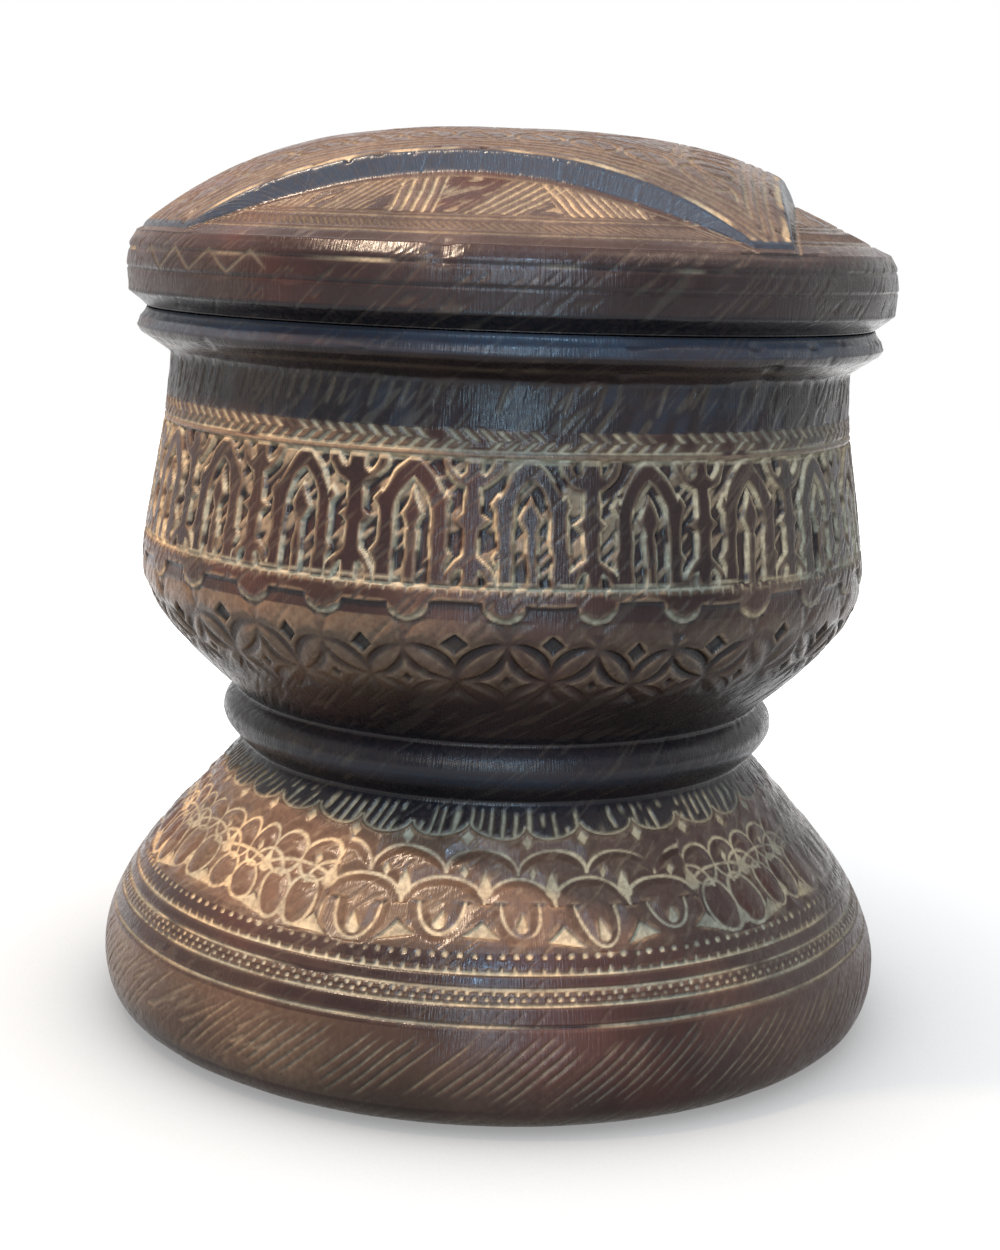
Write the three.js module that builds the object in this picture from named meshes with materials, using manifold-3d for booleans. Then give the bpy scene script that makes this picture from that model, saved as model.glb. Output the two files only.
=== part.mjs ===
// Carved wooden vessel with a lid that lifts off. The body is one block: a flared foot, a round
// collar at the waist, a bellied cup, a neck and a beaded rim. The lid is a second block: a band,
// four sloping fields round a square, domed crown, and a spigot below that locates it in the mouth.
// Millimetres, +Z up. The origin is on the floor, under the axis. The front faces -Y.
import * as THREE from 'three';
import { ConvexGeometry } from 'three/addons/geometries/ConvexGeometry.js';
import { mergeVertices } from 'three/addons/utils/BufferGeometryUtils.js';
import Module from 'manifold-3d';

const wasm = await Module();
wasm.setup();
const { CrossSection, Manifold } = wasm;
const mix = THREE.MathUtils.lerp;

// Foot
const FOOT_RADIUS = 80;
const FOOT_WIDEST_HEIGHT = 11;
const FOOT_REST_RADIUS = 73;
const FOOT_HEIGHT = 53.8; // floor to the groove under the collar
const FOOT_TOP_RADIUS = 51.4;
const RECESS_RADIUS = 62; // shallow hollow, so that the foot stands on a ring
const RECESS_DEPTH = 3;

// Collar
const COLLAR_RADIUS = 56.4;
const COLLAR_HEIGHT = 11.2; // groove to groove

// Cup and neck
const CUP_BASE_RADIUS = 53.4;
const BELLY_RADIUS = 73;
const BELLY_HEIGHT = 26; // above the cup's base
const NECK_RADIUS = 67.8;
const NECK_HEIGHT = 66.8; // cup's base to the rim bead

// Rim bead
const BEAD_RADIUS = 74.1;
const BEAD_HEIGHT = 8.5;
const PARTING_RADIUS = 72; // where the bead and the lid's bevel meet

// Relief on the cup: a frieze of arches and posts, a fillet with tabs, and a pit between two tabs
const FRIEZE_BASE_HEIGHT = 6.2; // above the belly's level
const FRIEZE_HEIGHT = 21.5;
const FRIEZE_DEPTH = 0.7;
const FRIEZE_UNITS = 21;
const FRIEZE_TURN = 4; // degrees from the front to the middle of a unit
const POST_WIDTH = 3;
const ARCH_HALF = 6.2;
const ARCH_BAR = 2.9;
const TAB_REPEATS = 28;
const TAB_TURN = 0.4; // degrees from the front to the nearest tab
const TAB_HEIGHT = 3.2; // fillet's lower edge above the belly's level
const TAB_RADIUS = 3.9;
const TAB_STEP = 0.55; // how far the fillet and its tabs stand out
const TAB_FADE = 9; // below the fillet, where the step has run out
const PIT_DROP = 5.1; // pits' middle below the belly's level
const PIT_HALF = 2;
const PIT_DEPTH = 1.1;

// Bowl inside the cup
const NECK_WALL = 7.8;
const BELLY_WALL = 9;
const FLOOR_THICKNESS = 10; // above the collar's upper groove
const MOUTH_DEPTH = 14; // straight bore under the rim

// Lid
const SEAT_GAP = 0.3;
const LID_RADIUS = 76.2;
const LID_BEVEL_HEIGHT = 2.8;
const LID_BAND_HEIGHT = 14.4; // seat to ridge, bevel included
const RIDGE_RADIUS = 74.2;
const FIELD_SLOPE = 0.47; // rise of the sloping fields for each millimetre inwards
const DOME_RISE = 21.7; // ridge to crown
const CROWN_THICKNESS = 13;
const SPIGOT_DEPTH = 9;
const SPIGOT_WALL = 8;
const SPIGOT_CLEARANCE = 0.6; // in the mouth, on the radius
const LID_HOLLOW_SHOULDER = 9; // straight side of the lid's hollow, above the seat

// The crown's four sides, by their direction round the axis from the front. Each side's ledge
// drops from the dome to its field, from crownHalf to fieldHalf out from the axis.
const CROWN_TURN = -9.5;
const CROWN_SIDES = [
  { direction: 0, crownHalf: 47.5, fieldHalf: 48.8 },
  { direction: 90, crownHalf: 57, fieldHalf: 58.6 },
  { direction: 180, crownHalf: 50, fieldHalf: 51.4 },
  { direction: 270, crownHalf: 67, fieldHalf: 68 },
];
const DOME_POWER = 3; // fullness of the dome's section

// Fineness of the mesh
const ROUND_STEPS = 56;
const CURVE_STEPS = 5;
const DOME_STEPS = 14;

// Heights worked out from the sizes above
const COLLAR_TOP = FOOT_HEIGHT + COLLAR_HEIGHT;
const BELLY_LEVEL = COLLAR_TOP + BELLY_HEIGHT;
const NECK_TOP = COLLAR_TOP + NECK_HEIGHT;
const RIM_TOP = NECK_TOP + BEAD_HEIGHT;
const LID_BASE = RIM_TOP + SEAT_GAP;
const RIDGE_LEVEL = LID_BASE + LID_BAND_HEIGHT;
const CROWN_LEVEL = RIDGE_LEVEL + DOME_RISE;
const MOUTH_RADIUS = NECK_RADIUS - NECK_WALL;
const BOWL_RADIUS = BELLY_RADIUS - BELLY_WALL;
const BOWL_FLOOR = COLLAR_TOP + FLOOR_THICKNESS;

const FRIEZE_BASE = BELLY_LEVEL + FRIEZE_BASE_HEIGHT;
const FRIEZE_TOP = FRIEZE_BASE + FRIEZE_HEIGHT;
const TAB_LEVEL = BELLY_LEVEL + TAB_HEIGHT;
const RELIEF_ROOT = Math.min( // inside the wall, both at the neck and at the belly
  mix(MOUTH_RADIUS, NECK_RADIUS, 0.75),
  mix(BOWL_RADIUS, BELLY_RADIUS, 0.75),
);
const RELIEF_REACH = BELLY_RADIUS; // from the root to well past the cup's surface

function turned(profile) {
  const geometry = new THREE.LatheGeometry(profile, ROUND_STEPS);
  geometry.rotateX(Math.PI / 2);
  geometry.deleteAttribute('normal');
  geometry.deleteAttribute('uv');
  return mergeVertices(geometry);
}

// Index of the triangles that have three different corners
function wholeTriangles(geometry) {
  const index = geometry.getIndex().array;
  const kept = [];
  for (let i = 0; i < index.length; i += 3) {
    const [a, b, c] = [index[i], index[i + 1], index[i + 2]];
    if (a !== b && b !== c && c !== a) kept.push(a, b, c);
  }
  return kept;
}

function toSolid(geometry) {
  const vertProperties = new Float32Array(geometry.getAttribute('position').array);
  const triVerts = new Uint32Array(wholeTriangles(geometry));
  return new Manifold(new wasm.Mesh({ numProp: 3, vertProperties, triVerts }));
}

function toGeometry(solid) {
  const mesh = solid.getMesh();
  const geometry = new THREE.BufferGeometry();
  geometry.setAttribute('position', new THREE.BufferAttribute(mesh.vertProperties, mesh.numProp));
  geometry.setIndex(new THREE.BufferAttribute(mesh.triVerts, 1));
  return geometry;
}

// Outside of the body from the floor to the rim, then the bowl back down to the axis
function bodyProfile() {
  const path = new THREE.Path();
  path.moveTo(0, RECESS_DEPTH);
  path.quadraticCurveTo(mix(0, RECESS_RADIUS, 0.8), RECESS_DEPTH, RECESS_RADIUS, 0);
  path.lineTo(FOOT_REST_RADIUS, 0);

  path.quadraticCurveTo(FOOT_RADIUS, mix(0, FOOT_WIDEST_HEIGHT, 0.15), FOOT_RADIUS, FOOT_WIDEST_HEIGHT);
  path.bezierCurveTo(
    FOOT_RADIUS, mix(FOOT_WIDEST_HEIGHT, FOOT_HEIGHT, 0.31),
    mix(FOOT_TOP_RADIUS, FOOT_RADIUS, 0.57), mix(FOOT_WIDEST_HEIGHT, FOOT_HEIGHT, 0.59),
    FOOT_TOP_RADIUS, FOOT_HEIGHT,
  );

  const collarWidest = mix(FOOT_HEIGHT, COLLAR_TOP, 0.58);
  path.quadraticCurveTo(COLLAR_RADIUS, mix(FOOT_HEIGHT, collarWidest, 0.6), COLLAR_RADIUS, collarWidest);
  path.quadraticCurveTo(COLLAR_RADIUS, mix(collarWidest, COLLAR_TOP, 0.5), CUP_BASE_RADIUS, COLLAR_TOP);

  path.bezierCurveTo(
    mix(CUP_BASE_RADIUS, BELLY_RADIUS, 0.41), mix(COLLAR_TOP, BELLY_LEVEL, 0.29),
    BELLY_RADIUS, mix(COLLAR_TOP, BELLY_LEVEL, 0.65),
    BELLY_RADIUS, BELLY_LEVEL,
  );
  path.bezierCurveTo(
    BELLY_RADIUS, mix(BELLY_LEVEL, NECK_TOP, 0.17),
    NECK_RADIUS, mix(BELLY_LEVEL, NECK_TOP, 0.66),
    NECK_RADIUS, NECK_TOP,
  );

  path.lineTo(mix(NECK_RADIUS, BEAD_RADIUS, 0.88), mix(NECK_TOP, RIM_TOP, 0.42));
  path.lineTo(BEAD_RADIUS, mix(NECK_TOP, RIM_TOP, 0.58));
  path.lineTo(mix(PARTING_RADIUS, BEAD_RADIUS, 0.75), mix(NECK_TOP, RIM_TOP, 0.78));
  path.lineTo(PARTING_RADIUS, RIM_TOP);
  path.lineTo(MOUTH_RADIUS, RIM_TOP);

  const boreEnd = RIM_TOP - MOUTH_DEPTH;
  path.lineTo(MOUTH_RADIUS, boreEnd);
  path.bezierCurveTo(
    MOUTH_RADIUS, mix(boreEnd, BELLY_LEVEL, 0.35),
    BOWL_RADIUS, mix(boreEnd, BELLY_LEVEL, 0.65),
    BOWL_RADIUS, mix(boreEnd, BELLY_LEVEL, 0.9),
  );
  path.bezierCurveTo(
    BOWL_RADIUS, mix(BELLY_LEVEL, BOWL_FLOOR, 0.45),
    mix(0, BOWL_RADIUS, 0.72), BOWL_FLOOR,
    0, BOWL_FLOOR,
  );
  return path.getPoints(CURVE_STEPS);
}

// How far the ground lies below the turned surface at a height
function groundDepth(height) {
  if (height > FRIEZE_BASE && height < FRIEZE_TOP) return FRIEZE_DEPTH;
  if (height < TAB_LEVEL) return TAB_STEP * THREE.MathUtils.smoothstep(height, TAB_LEVEL - TAB_FADE, TAB_LEVEL);
  return 0;
}

// The body's profile with its outside lowered to the ground of the relief
function groundProfile(profile) {
  const rim = profile.findIndex((point) => point.y >= RIM_TOP);
  const outside = profile.slice(0, rim);
  const edge = FRIEZE_DEPTH / 4; // each step slants over twice this height
  const crossings = [];
  for (const level of [TAB_LEVEL, FRIEZE_BASE, FRIEZE_TOP]) {
    for (const height of [level - edge, level + edge]) {
      const after = outside.findIndex((point) => point.y > height && point.x > COLLAR_RADIUS);
      const [low, high] = [outside[after - 1], outside[after]];
      const share = (height - low.y) / (high.y - low.y);
      crossings.push(new THREE.Vector2(mix(low.x, high.x, share), height));
    }
  }
  const cupStart = outside.findIndex((point) => point.y > COLLAR_TOP);
  const cup = [...outside.slice(cupStart), ...crossings].sort((a, b) => a.y - b.y);
  const lowered = cup.map((point) => new THREE.Vector2(point.x - groundDepth(point.y), point.y));
  return [...outside.slice(0, cupStart), ...lowered, ...profile.slice(rim)];
}

// A flat shape, x to the right and y up, pushed out through the wall at its place round the cup
function placed(shape, height, degrees) {
  return shape
    .extrude(RELIEF_REACH)
    .translate([0, 0, RELIEF_ROOT])
    .rotate([90, 0, 0])
    .translate([0, 0, height])
    .rotate([0, 0, degrees]);
}

// A pointed arch on two posts
function arch(half, tip) {
  const foot = -FRIEZE_HEIGHT / 2;
  const spring = foot + 0.5 * FRIEZE_HEIGHT;
  return new CrossSection([[-half, foot], [half, foot], [half, spring], [0, tip], [-half, spring]]);
}

// An arcade right round the cup: the same arch in each unit, and a post between each two
function friezeBlocks() {
  const tip = FRIEZE_HEIGHT / 2;
  const figure = arch(ARCH_HALF, tip).subtract(arch(ARCH_HALF - ARCH_BAR, tip - 1.6 * ARCH_BAR));
  const post = CrossSection.square([POST_WIDTH, FRIEZE_HEIGHT], true);
  const middle = mix(FRIEZE_BASE, FRIEZE_TOP, 0.5);
  const step = 360 / FRIEZE_UNITS;
  const blocks = [];
  for (let unit = 0; unit < FRIEZE_UNITS; unit += 1) {
    const turn = FRIEZE_TURN + unit * step;
    blocks.push(placed(figure, middle, turn));
    blocks.push(placed(post, middle, turn + step / 2));
  }
  return blocks;
}

function tabBlocks() {
  const root = FRIEZE_DEPTH / 2;
  const shape = new CrossSection([
    [-TAB_RADIUS, root], [-0.9 * TAB_RADIUS, -0.45 * TAB_RADIUS], [-0.4 * TAB_RADIUS, -0.93 * TAB_RADIUS],
    [0.4 * TAB_RADIUS, -0.93 * TAB_RADIUS], [0.9 * TAB_RADIUS, -0.45 * TAB_RADIUS], [TAB_RADIUS, root],
  ]);
  const step = 360 / TAB_REPEATS;
  return Array.from({ length: TAB_REPEATS }, (_, tab) => placed(shape, TAB_LEVEL, TAB_TURN + tab * step));
}

// A four-sided spike for each pit, point inwards
function pitSpikes() {
  const spikes = [];
  const surface = BELLY_RADIUS - TAB_STEP;
  for (let pit = 0; pit < TAB_REPEATS; pit += 1) {
    const spike = Manifold.cylinder(2 * PIT_DEPTH, 0, 2 * PIT_HALF, 4)
      .translate([0, 0, surface - PIT_DEPTH])
      .rotate([90, 0, 0])
      .translate([0, 0, BELLY_LEVEL - PIT_DROP])
      .rotate([0, 0, TAB_TURN + ((pit + 0.5) * 360) / TAB_REPEATS]);
    spikes.push(spike);
  }
  return spikes;
}

function bodySolid() {
  const profile = bodyProfile();
  const blocks = Manifold.union([...friezeBlocks(), ...tabBlocks()]);
  const standing = toSolid(turned(profile)).intersect(blocks);
  return toSolid(turned(groundProfile(profile))).add(standing).subtract(Manifold.union(pitSpikes()));
}

function domeHeight(radius) {
  return RIDGE_LEVEL + DOME_RISE * (1 - (radius / RIDGE_RADIUS) ** DOME_POWER);
}

function fieldHeight(radius) {
  return RIDGE_LEVEL + FIELD_SLOPE * (RIDGE_RADIUS - radius);
}

// Spigot, seat, band and sloping fields, closed flat under the crown
function lidShellProfile() {
  const spigotRadius = MOUTH_RADIUS - SPIGOT_CLEARANCE;
  const underCrown = 0.8 * Math.min(...CROWN_SIDES.map((side) => side.crownHalf));
  const path = new THREE.Path();
  path.moveTo(0, LID_BASE - SPIGOT_DEPTH);
  path.lineTo(spigotRadius, LID_BASE - SPIGOT_DEPTH);
  path.lineTo(spigotRadius, LID_BASE);
  path.lineTo(PARTING_RADIUS, LID_BASE);
  path.lineTo(mix(RIDGE_RADIUS, LID_RADIUS, 0.8), LID_BASE + LID_BEVEL_HEIGHT);
  path.lineTo(LID_RADIUS, mix(LID_BASE + LID_BEVEL_HEIGHT, RIDGE_LEVEL, 0.45));
  path.lineTo(mix(RIDGE_RADIUS, LID_RADIUS, 0.7), mix(LID_BASE + LID_BEVEL_HEIGHT, RIDGE_LEVEL, 0.8));
  path.lineTo(RIDGE_RADIUS, RIDGE_LEVEL);
  path.lineTo(underCrown, fieldHeight(underCrown));
  path.lineTo(0, fieldHeight(underCrown));
  return path.getPoints(CURVE_STEPS);
}

function domeProfile() {
  const points = [new THREE.Vector2(0, RIDGE_LEVEL)];
  for (let step = DOME_STEPS; step >= 0; step -= 1) {
    const radius = (RIDGE_RADIUS * step) / DOME_STEPS;
    points.push(new THREE.Vector2(radius, domeHeight(radius)));
  }
  return points;
}

function lidHollowProfile() {
  const hollowRadius = MOUTH_RADIUS - SPIGOT_CLEARANCE - SPIGOT_WALL;
  const mouthLevel = LID_BASE - 2 * SPIGOT_DEPTH; // clear below the spigot
  const shoulder = LID_BASE + LID_HOLLOW_SHOULDER;
  const ceiling = CROWN_LEVEL - CROWN_THICKNESS;
  const path = new THREE.Path();
  path.moveTo(0, mouthLevel);
  path.lineTo(hollowRadius, mouthLevel);
  path.lineTo(hollowRadius, shoulder);
  path.bezierCurveTo(
    hollowRadius, mix(shoulder, ceiling, 0.6),
    mix(0, hollowRadius, 0.6), ceiling,
    0, ceiling,
  );
  return path.getPoints(CURVE_STEPS);
}

// How far out a side's plane lies at a height: through the dome's edge and the field's edge
function sideReach(side, height) {
  const top = domeHeight(side.crownHalf);
  const base = fieldHeight(side.fieldHalf);
  return mix(side.fieldHalf, side.crownHalf, (height - base) / (top - base));
}

// Where two neighbouring sides, a quarter turn apart, meet at a height
function crownCorner(side, next, height) {
  const angle = THREE.MathUtils.degToRad(side.direction + CROWN_TURN);
  const outward = new THREE.Vector3(Math.sin(angle), -Math.cos(angle), 0);
  const along = new THREE.Vector3(Math.cos(angle), Math.sin(angle), 0);
  return new THREE.Vector3(0, 0, height)
    .addScaledVector(outward, sideReach(side, height))
    .addScaledVector(along, sideReach(next, height));
}

function crownBlock() {
  const corners = [];
  CROWN_SIDES.forEach((side, i) => {
    const next = CROWN_SIDES[(i + 1) % CROWN_SIDES.length];
    for (const height of [RIDGE_LEVEL - DOME_RISE / 10, CROWN_LEVEL + DOME_RISE / 10]) {
      corners.push(crownCorner(side, next, height));
    }
  });
  const block = new ConvexGeometry(corners);
  block.deleteAttribute('normal');
  block.deleteAttribute('uv');
  return mergeVertices(block);
}

function lidSolid() {
  const crown = toSolid(turned(domeProfile())).intersect(toSolid(crownBlock()));
  const shell = toSolid(turned(lidShellProfile()));
  return shell.add(crown).subtract(toSolid(turned(lidHollowProfile())));
}

function woodPiece(name, geometry, color, roughness) {
  const material = new THREE.MeshStandardMaterial({ color, roughness, metalness: 0 });
  const mesh = new THREE.Mesh(geometry, material);
  mesh.name = name;
  return mesh;
}

const vessel = new THREE.Group();
vessel.add(woodPiece('body', toGeometry(bodySolid()), 0x4f3a31, 0.4));
vessel.add(woodPiece('lid', toGeometry(lidSolid()), 0x574237, 0.45));

export default vessel;
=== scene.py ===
# Carved wooden vessel with a lid: the finished look of both pieces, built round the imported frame.
import math

import bpy
import numpy as np
from mathutils import Matrix, Vector


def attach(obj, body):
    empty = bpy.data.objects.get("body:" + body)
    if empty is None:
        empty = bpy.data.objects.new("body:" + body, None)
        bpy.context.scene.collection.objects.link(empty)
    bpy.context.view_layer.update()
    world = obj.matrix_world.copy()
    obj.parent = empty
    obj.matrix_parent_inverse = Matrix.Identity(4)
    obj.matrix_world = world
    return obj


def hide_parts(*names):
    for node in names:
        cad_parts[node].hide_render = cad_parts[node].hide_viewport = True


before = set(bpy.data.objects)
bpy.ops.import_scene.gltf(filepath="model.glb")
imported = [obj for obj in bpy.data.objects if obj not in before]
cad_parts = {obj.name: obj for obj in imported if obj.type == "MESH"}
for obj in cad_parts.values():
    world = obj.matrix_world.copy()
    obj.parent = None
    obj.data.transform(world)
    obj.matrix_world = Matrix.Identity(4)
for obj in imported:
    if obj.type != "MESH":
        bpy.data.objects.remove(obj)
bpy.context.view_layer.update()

TAU = math.tau
MM = 0.001

# Sizes of the two blocks, in millimetres, as the solids have them, but for the crown's side at 90
# degrees, which the solids have 4.5 mm further out
FOOT_RADIUS = 80.0
FOOT_WIDEST_HEIGHT = 11.0
FOOT_REST_RADIUS = 73.0
FOOT_HEIGHT = 53.8
FOOT_TOP_RADIUS = 51.4
RECESS_RADIUS = 62.0
RECESS_DEPTH = 3.0
COLLAR_RADIUS = 56.4
COLLAR_TOP = 65.0
CUP_BASE_RADIUS = 53.4
BELLY_RADIUS = 73.0
BELLY_LEVEL = 91.0
NECK_RADIUS = 67.8
NECK_TOP = 131.8
BEAD_RADIUS = 74.1
RIM_TOP = 140.3
PARTING_RADIUS = 72.0
MOUTH_RADIUS = 60.0
MOUTH_DEPTH = 14.0
BOWL_RADIUS = 64.0
BOWL_FLOOR = 75.0
LID_BASE = 140.6
LID_RADIUS = 76.2
LID_BEVEL_HEIGHT = 2.8
BEVEL_TOP = LID_BASE + LID_BEVEL_HEIGHT
RIDGE_LEVEL = 155.0
RIDGE_RADIUS = 74.2
FIELD_SLOPE = 0.47
DOME_RISE = 21.7
DOME_POWER = 3.0
CROWN_THICKNESS = 13.0
HOLLOW_CEILING = RIDGE_LEVEL + DOME_RISE - CROWN_THICKNESS
SPIGOT_RADIUS = 59.4
SPIGOT_DEPTH = 9.0
HOLLOW_RADIUS = 51.4
HOLLOW_SHOULDER = 9.0
CROWN_TURN = -9.5
CROWN_SIDES = (  # direction round the axis from the front, reach at the dome, reach at the field
    (0.0, 47.5, 48.8),
    (90.0, 52.5, 54.1),
    (180.0, 50.0, 51.4),
    (270.0, 67.0, 68.0),
)

# Levels of the bands carved round the body, in millimetres above the floor
SCRATCH_BAND = (7.0, 19.5)
PLAIN_RING = 20.5
TICKED_RING = 23.8
DOTTED_RING = 26.3
TOOTHED_RING = 28.6
DOT_ROW = 31.2
ARCADE_BASE = 32.7
ARCADE_TOP = 47.6
SCALLOP_LINE = 48.5
STROKE_TOP = 53.2
NET_BASE = 65.8
NET_CENTRE = 85.9
NET_TOP = 90.3
TAB_LEVEL = 94.2
TAB_DROP = 3.8
FRIEZE_BASE = 97.2
FRIEZE_TOP = 118.7
ROPE_BASE = 119.6
ROPE_TOP = 123.6

REPEATS = 28  # arches on the foot, circles and tabs on the cup
SCALLOPS = 33
STROKES = 150  # short strokes round the foot's top, the rope and the neck
FRIEZE_UNITS = 21
FRIEZE_TURN = 4.0  # degrees from the front to the middle of a unit
ARCH_HALF = 6.2
ARCH_BAR = 2.9
POST_WIDTH = 3.0
ARCADE_TURN = -2.0  # degrees from the front to the middle of an arch
TAB_TURN = 0.4

# Fineness of the meshes, in millimetres apart from the number of columns
COLUMNS = 1440
CARVED_STEP = 0.33
PLAIN_STEP = 0.6
HIDDEN_STEP = 2.2
SOFT_EDGE = 0.4
CURVE_POINTS = 160
FIELD_REACH = 20.0  # width that sets the rows from the ridge to the ledge
LEDGE_ROWS = 10
CROWN_REACH = 56.0  # width that sets the rows from the ledge to the axis
CROWN_STEP = 1.25 * CARVED_STEP
BLUR_REACH = 3  # rows and columns over which a cut counts as hollow

UV_SPAN = 480.0  # millimetres of surface across the whole unwrap

# Light and floor
AMBIENT = 0.08  # strength of the world's light on surfaces
FLOOR_LEVEL = -0.0002  # metres, just under the foot
FLOOR_GREY = (0.13, 0.13, 0.13, 1.0)
FLOOR_LIFT = 0.60  # glow that brings the lit floor up to white
FLOOR_LEAST = 0.30  # glow that is left where the vessel touches the floor
FLOOR_FADE = (0.12, 0.27)  # metres from the axis where the floor turns from lit to plain white
SHADOW_REACH = 0.05  # metres from the foot within which the floor darkens
SHADOW_POWER = 1.6


def mix(a, b, share):
    return a + (b - a) * share


def smooth(start, end, value):
    t = np.clip((value - start) / (end - start), 0.0, 1.0)
    return t * t * (3.0 - 2.0 * t)


def stroke(distance, width, soft=SOFT_EDGE):
    """1 on a line of that width, 0 beside it, from a distance in millimetres."""
    return 1.0 - smooth(0.5 * (width - soft), 0.5 * (width + soft), np.abs(distance))


def inside(distance, soft=SOFT_EDGE):
    """1 where a signed distance in millimetres is negative, 0 outside."""
    return 1.0 - smooth(-0.5 * soft, 0.5 * soft, distance)


def window(value, rise, fall):
    """1 between a range where it rises from 0 and a range where it falls back."""
    return smooth(*rise, value) * (1.0 - smooth(*fall, value))


def centred(across):
    """Place within a cell, from -0.5 to 0.5, with 0 at each whole number."""
    return across - np.round(across)


def noise(across, along, cells, seed):
    """Smooth noise from -1 to 1 that repeats after a number of cells across."""
    lines = 97
    table = np.random.default_rng(seed).uniform(-1.0, 1.0, (lines, cells))
    across, along = np.broadcast_arrays(across, along)
    column = np.floor(across).astype(int)
    line = np.floor(along).astype(int)
    fx = smooth(0.0, 1.0, across - column)
    fy = smooth(0.0, 1.0, along - line)
    left, right = column % cells, (column + 1) % cells
    low, high = line % lines, (line + 1) % lines
    below = mix(table[low, left], table[low, right], fx)
    above = mix(table[high, left], table[high, right], fx)
    return mix(below, above, fy)


def ellipse_distance(x, y, half_width, half_height):
    """Distance to an ellipse round the origin, near enough for engraving."""
    reach = np.hypot(x / half_width, y / half_height)
    slope = np.hypot(x / half_width**2, y / half_height**2) / np.maximum(reach, 1e-4)
    return (reach - 1.0) / np.maximum(slope, 1e-4)


def arch_distance(x, y, half_width, rise):
    """Distance to the upper half of an ellipse, whose ends stand on y = 0."""
    far = 9.0
    return np.where(y >= 0.0, ellipse_distance(x, y, half_width, rise), far)


def drop_distance(x, y, half_width, height):
    """Signed distance to a drop that is round below and comes to a point at y = height."""
    centre = half_width
    round_part = np.hypot(x, y - centre) - half_width
    taper = (height - y) / np.maximum(height - centre, 1e-4)
    point_part = np.abs(x) - half_width * np.clip(taper, 0.0, 1.0) ** 0.8
    upper = np.maximum(point_part, y - height)
    return np.where(y > centre, upper, round_part)


def lozenge_distance(x, y, half_width, half_height):
    return (np.abs(x) / half_width + np.abs(y) / half_height - 1.0) * min(half_width, half_height)


def curve(*controls):
    """Points along a straight line or Bezier curve, without the first."""
    t = np.linspace(0.0, 1.0, CURVE_POINTS)[1:, None]
    points = np.array(controls, float)
    order = len(points) - 1
    return sum(math.comb(order, i) * (1 - t) ** (order - i) * t**i * points[i] for i in range(order + 1))


def resample(points, spacing):
    """The same outline with rows at the spacing that a function gives for each level."""
    lengths = np.hypot(*np.diff(points, axis=0).T)
    middles = 0.5 * (points[1:, 1] + points[:-1, 1])
    counted = np.concatenate([[0.0], np.cumsum(lengths / spacing(middles))])
    wanted = np.linspace(0.0, counted[-1], max(2, int(round(counted[-1])) + 1))
    return np.column_stack([np.interp(wanted, counted, points[:, k]) for k in (0, 1)])


def hidden_spacing(levels):
    return np.full(levels.shape, HIDDEN_STEP)


def side_spacing(levels):
    plain = (levels < SCRATCH_BAND[0]) | ((levels > STROKE_TOP) & (levels < NET_BASE)) | (levels > NECK_TOP)
    return np.where(plain, PLAIN_STEP, CARVED_STEP)


def path(start, *segments):
    """An outline from its start, where each segment has the control points after the last point."""
    parts = [[start]]
    for segment in segments:
        parts.append(curve(start, *segment))
        start = segment[-1]
    return np.vstack(parts)


def body_under():
    return path(
        (0.0, RECESS_DEPTH),
        [(0.8 * RECESS_RADIUS, RECESS_DEPTH), (RECESS_RADIUS, 0.0)],
        [(FOOT_REST_RADIUS, 0.0)],
    )


def body_side():
    collar_level = mix(FOOT_HEIGHT, COLLAR_TOP, 0.58)
    return path(
        (FOOT_REST_RADIUS, 0.0),
        [(FOOT_RADIUS, 0.15 * FOOT_WIDEST_HEIGHT), (FOOT_RADIUS, FOOT_WIDEST_HEIGHT)],
        [
            (FOOT_RADIUS, mix(FOOT_WIDEST_HEIGHT, FOOT_HEIGHT, 0.31)),
            (mix(FOOT_TOP_RADIUS, FOOT_RADIUS, 0.57), mix(FOOT_WIDEST_HEIGHT, FOOT_HEIGHT, 0.59)),
            (FOOT_TOP_RADIUS, FOOT_HEIGHT),
        ],
        [(COLLAR_RADIUS, mix(FOOT_HEIGHT, collar_level, 0.6)), (COLLAR_RADIUS, collar_level)],
        [(COLLAR_RADIUS, mix(collar_level, COLLAR_TOP, 0.5)), (CUP_BASE_RADIUS, COLLAR_TOP)],
        [
            (mix(CUP_BASE_RADIUS, BELLY_RADIUS, 0.41), mix(COLLAR_TOP, BELLY_LEVEL, 0.29)),
            (BELLY_RADIUS, mix(COLLAR_TOP, BELLY_LEVEL, 0.65)),
            (BELLY_RADIUS, BELLY_LEVEL),
        ],
        [
            (BELLY_RADIUS, mix(BELLY_LEVEL, NECK_TOP, 0.17)),
            (NECK_RADIUS, mix(BELLY_LEVEL, NECK_TOP, 0.66)),
            (NECK_RADIUS, NECK_TOP),
        ],
        [(mix(NECK_RADIUS, BEAD_RADIUS, 0.88), mix(NECK_TOP, RIM_TOP, 0.42))],
        [(BEAD_RADIUS, mix(NECK_TOP, RIM_TOP, 0.58))],
        [(mix(PARTING_RADIUS, BEAD_RADIUS, 0.75), mix(NECK_TOP, RIM_TOP, 0.78))],
        [(PARTING_RADIUS, RIM_TOP)],
    )


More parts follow.
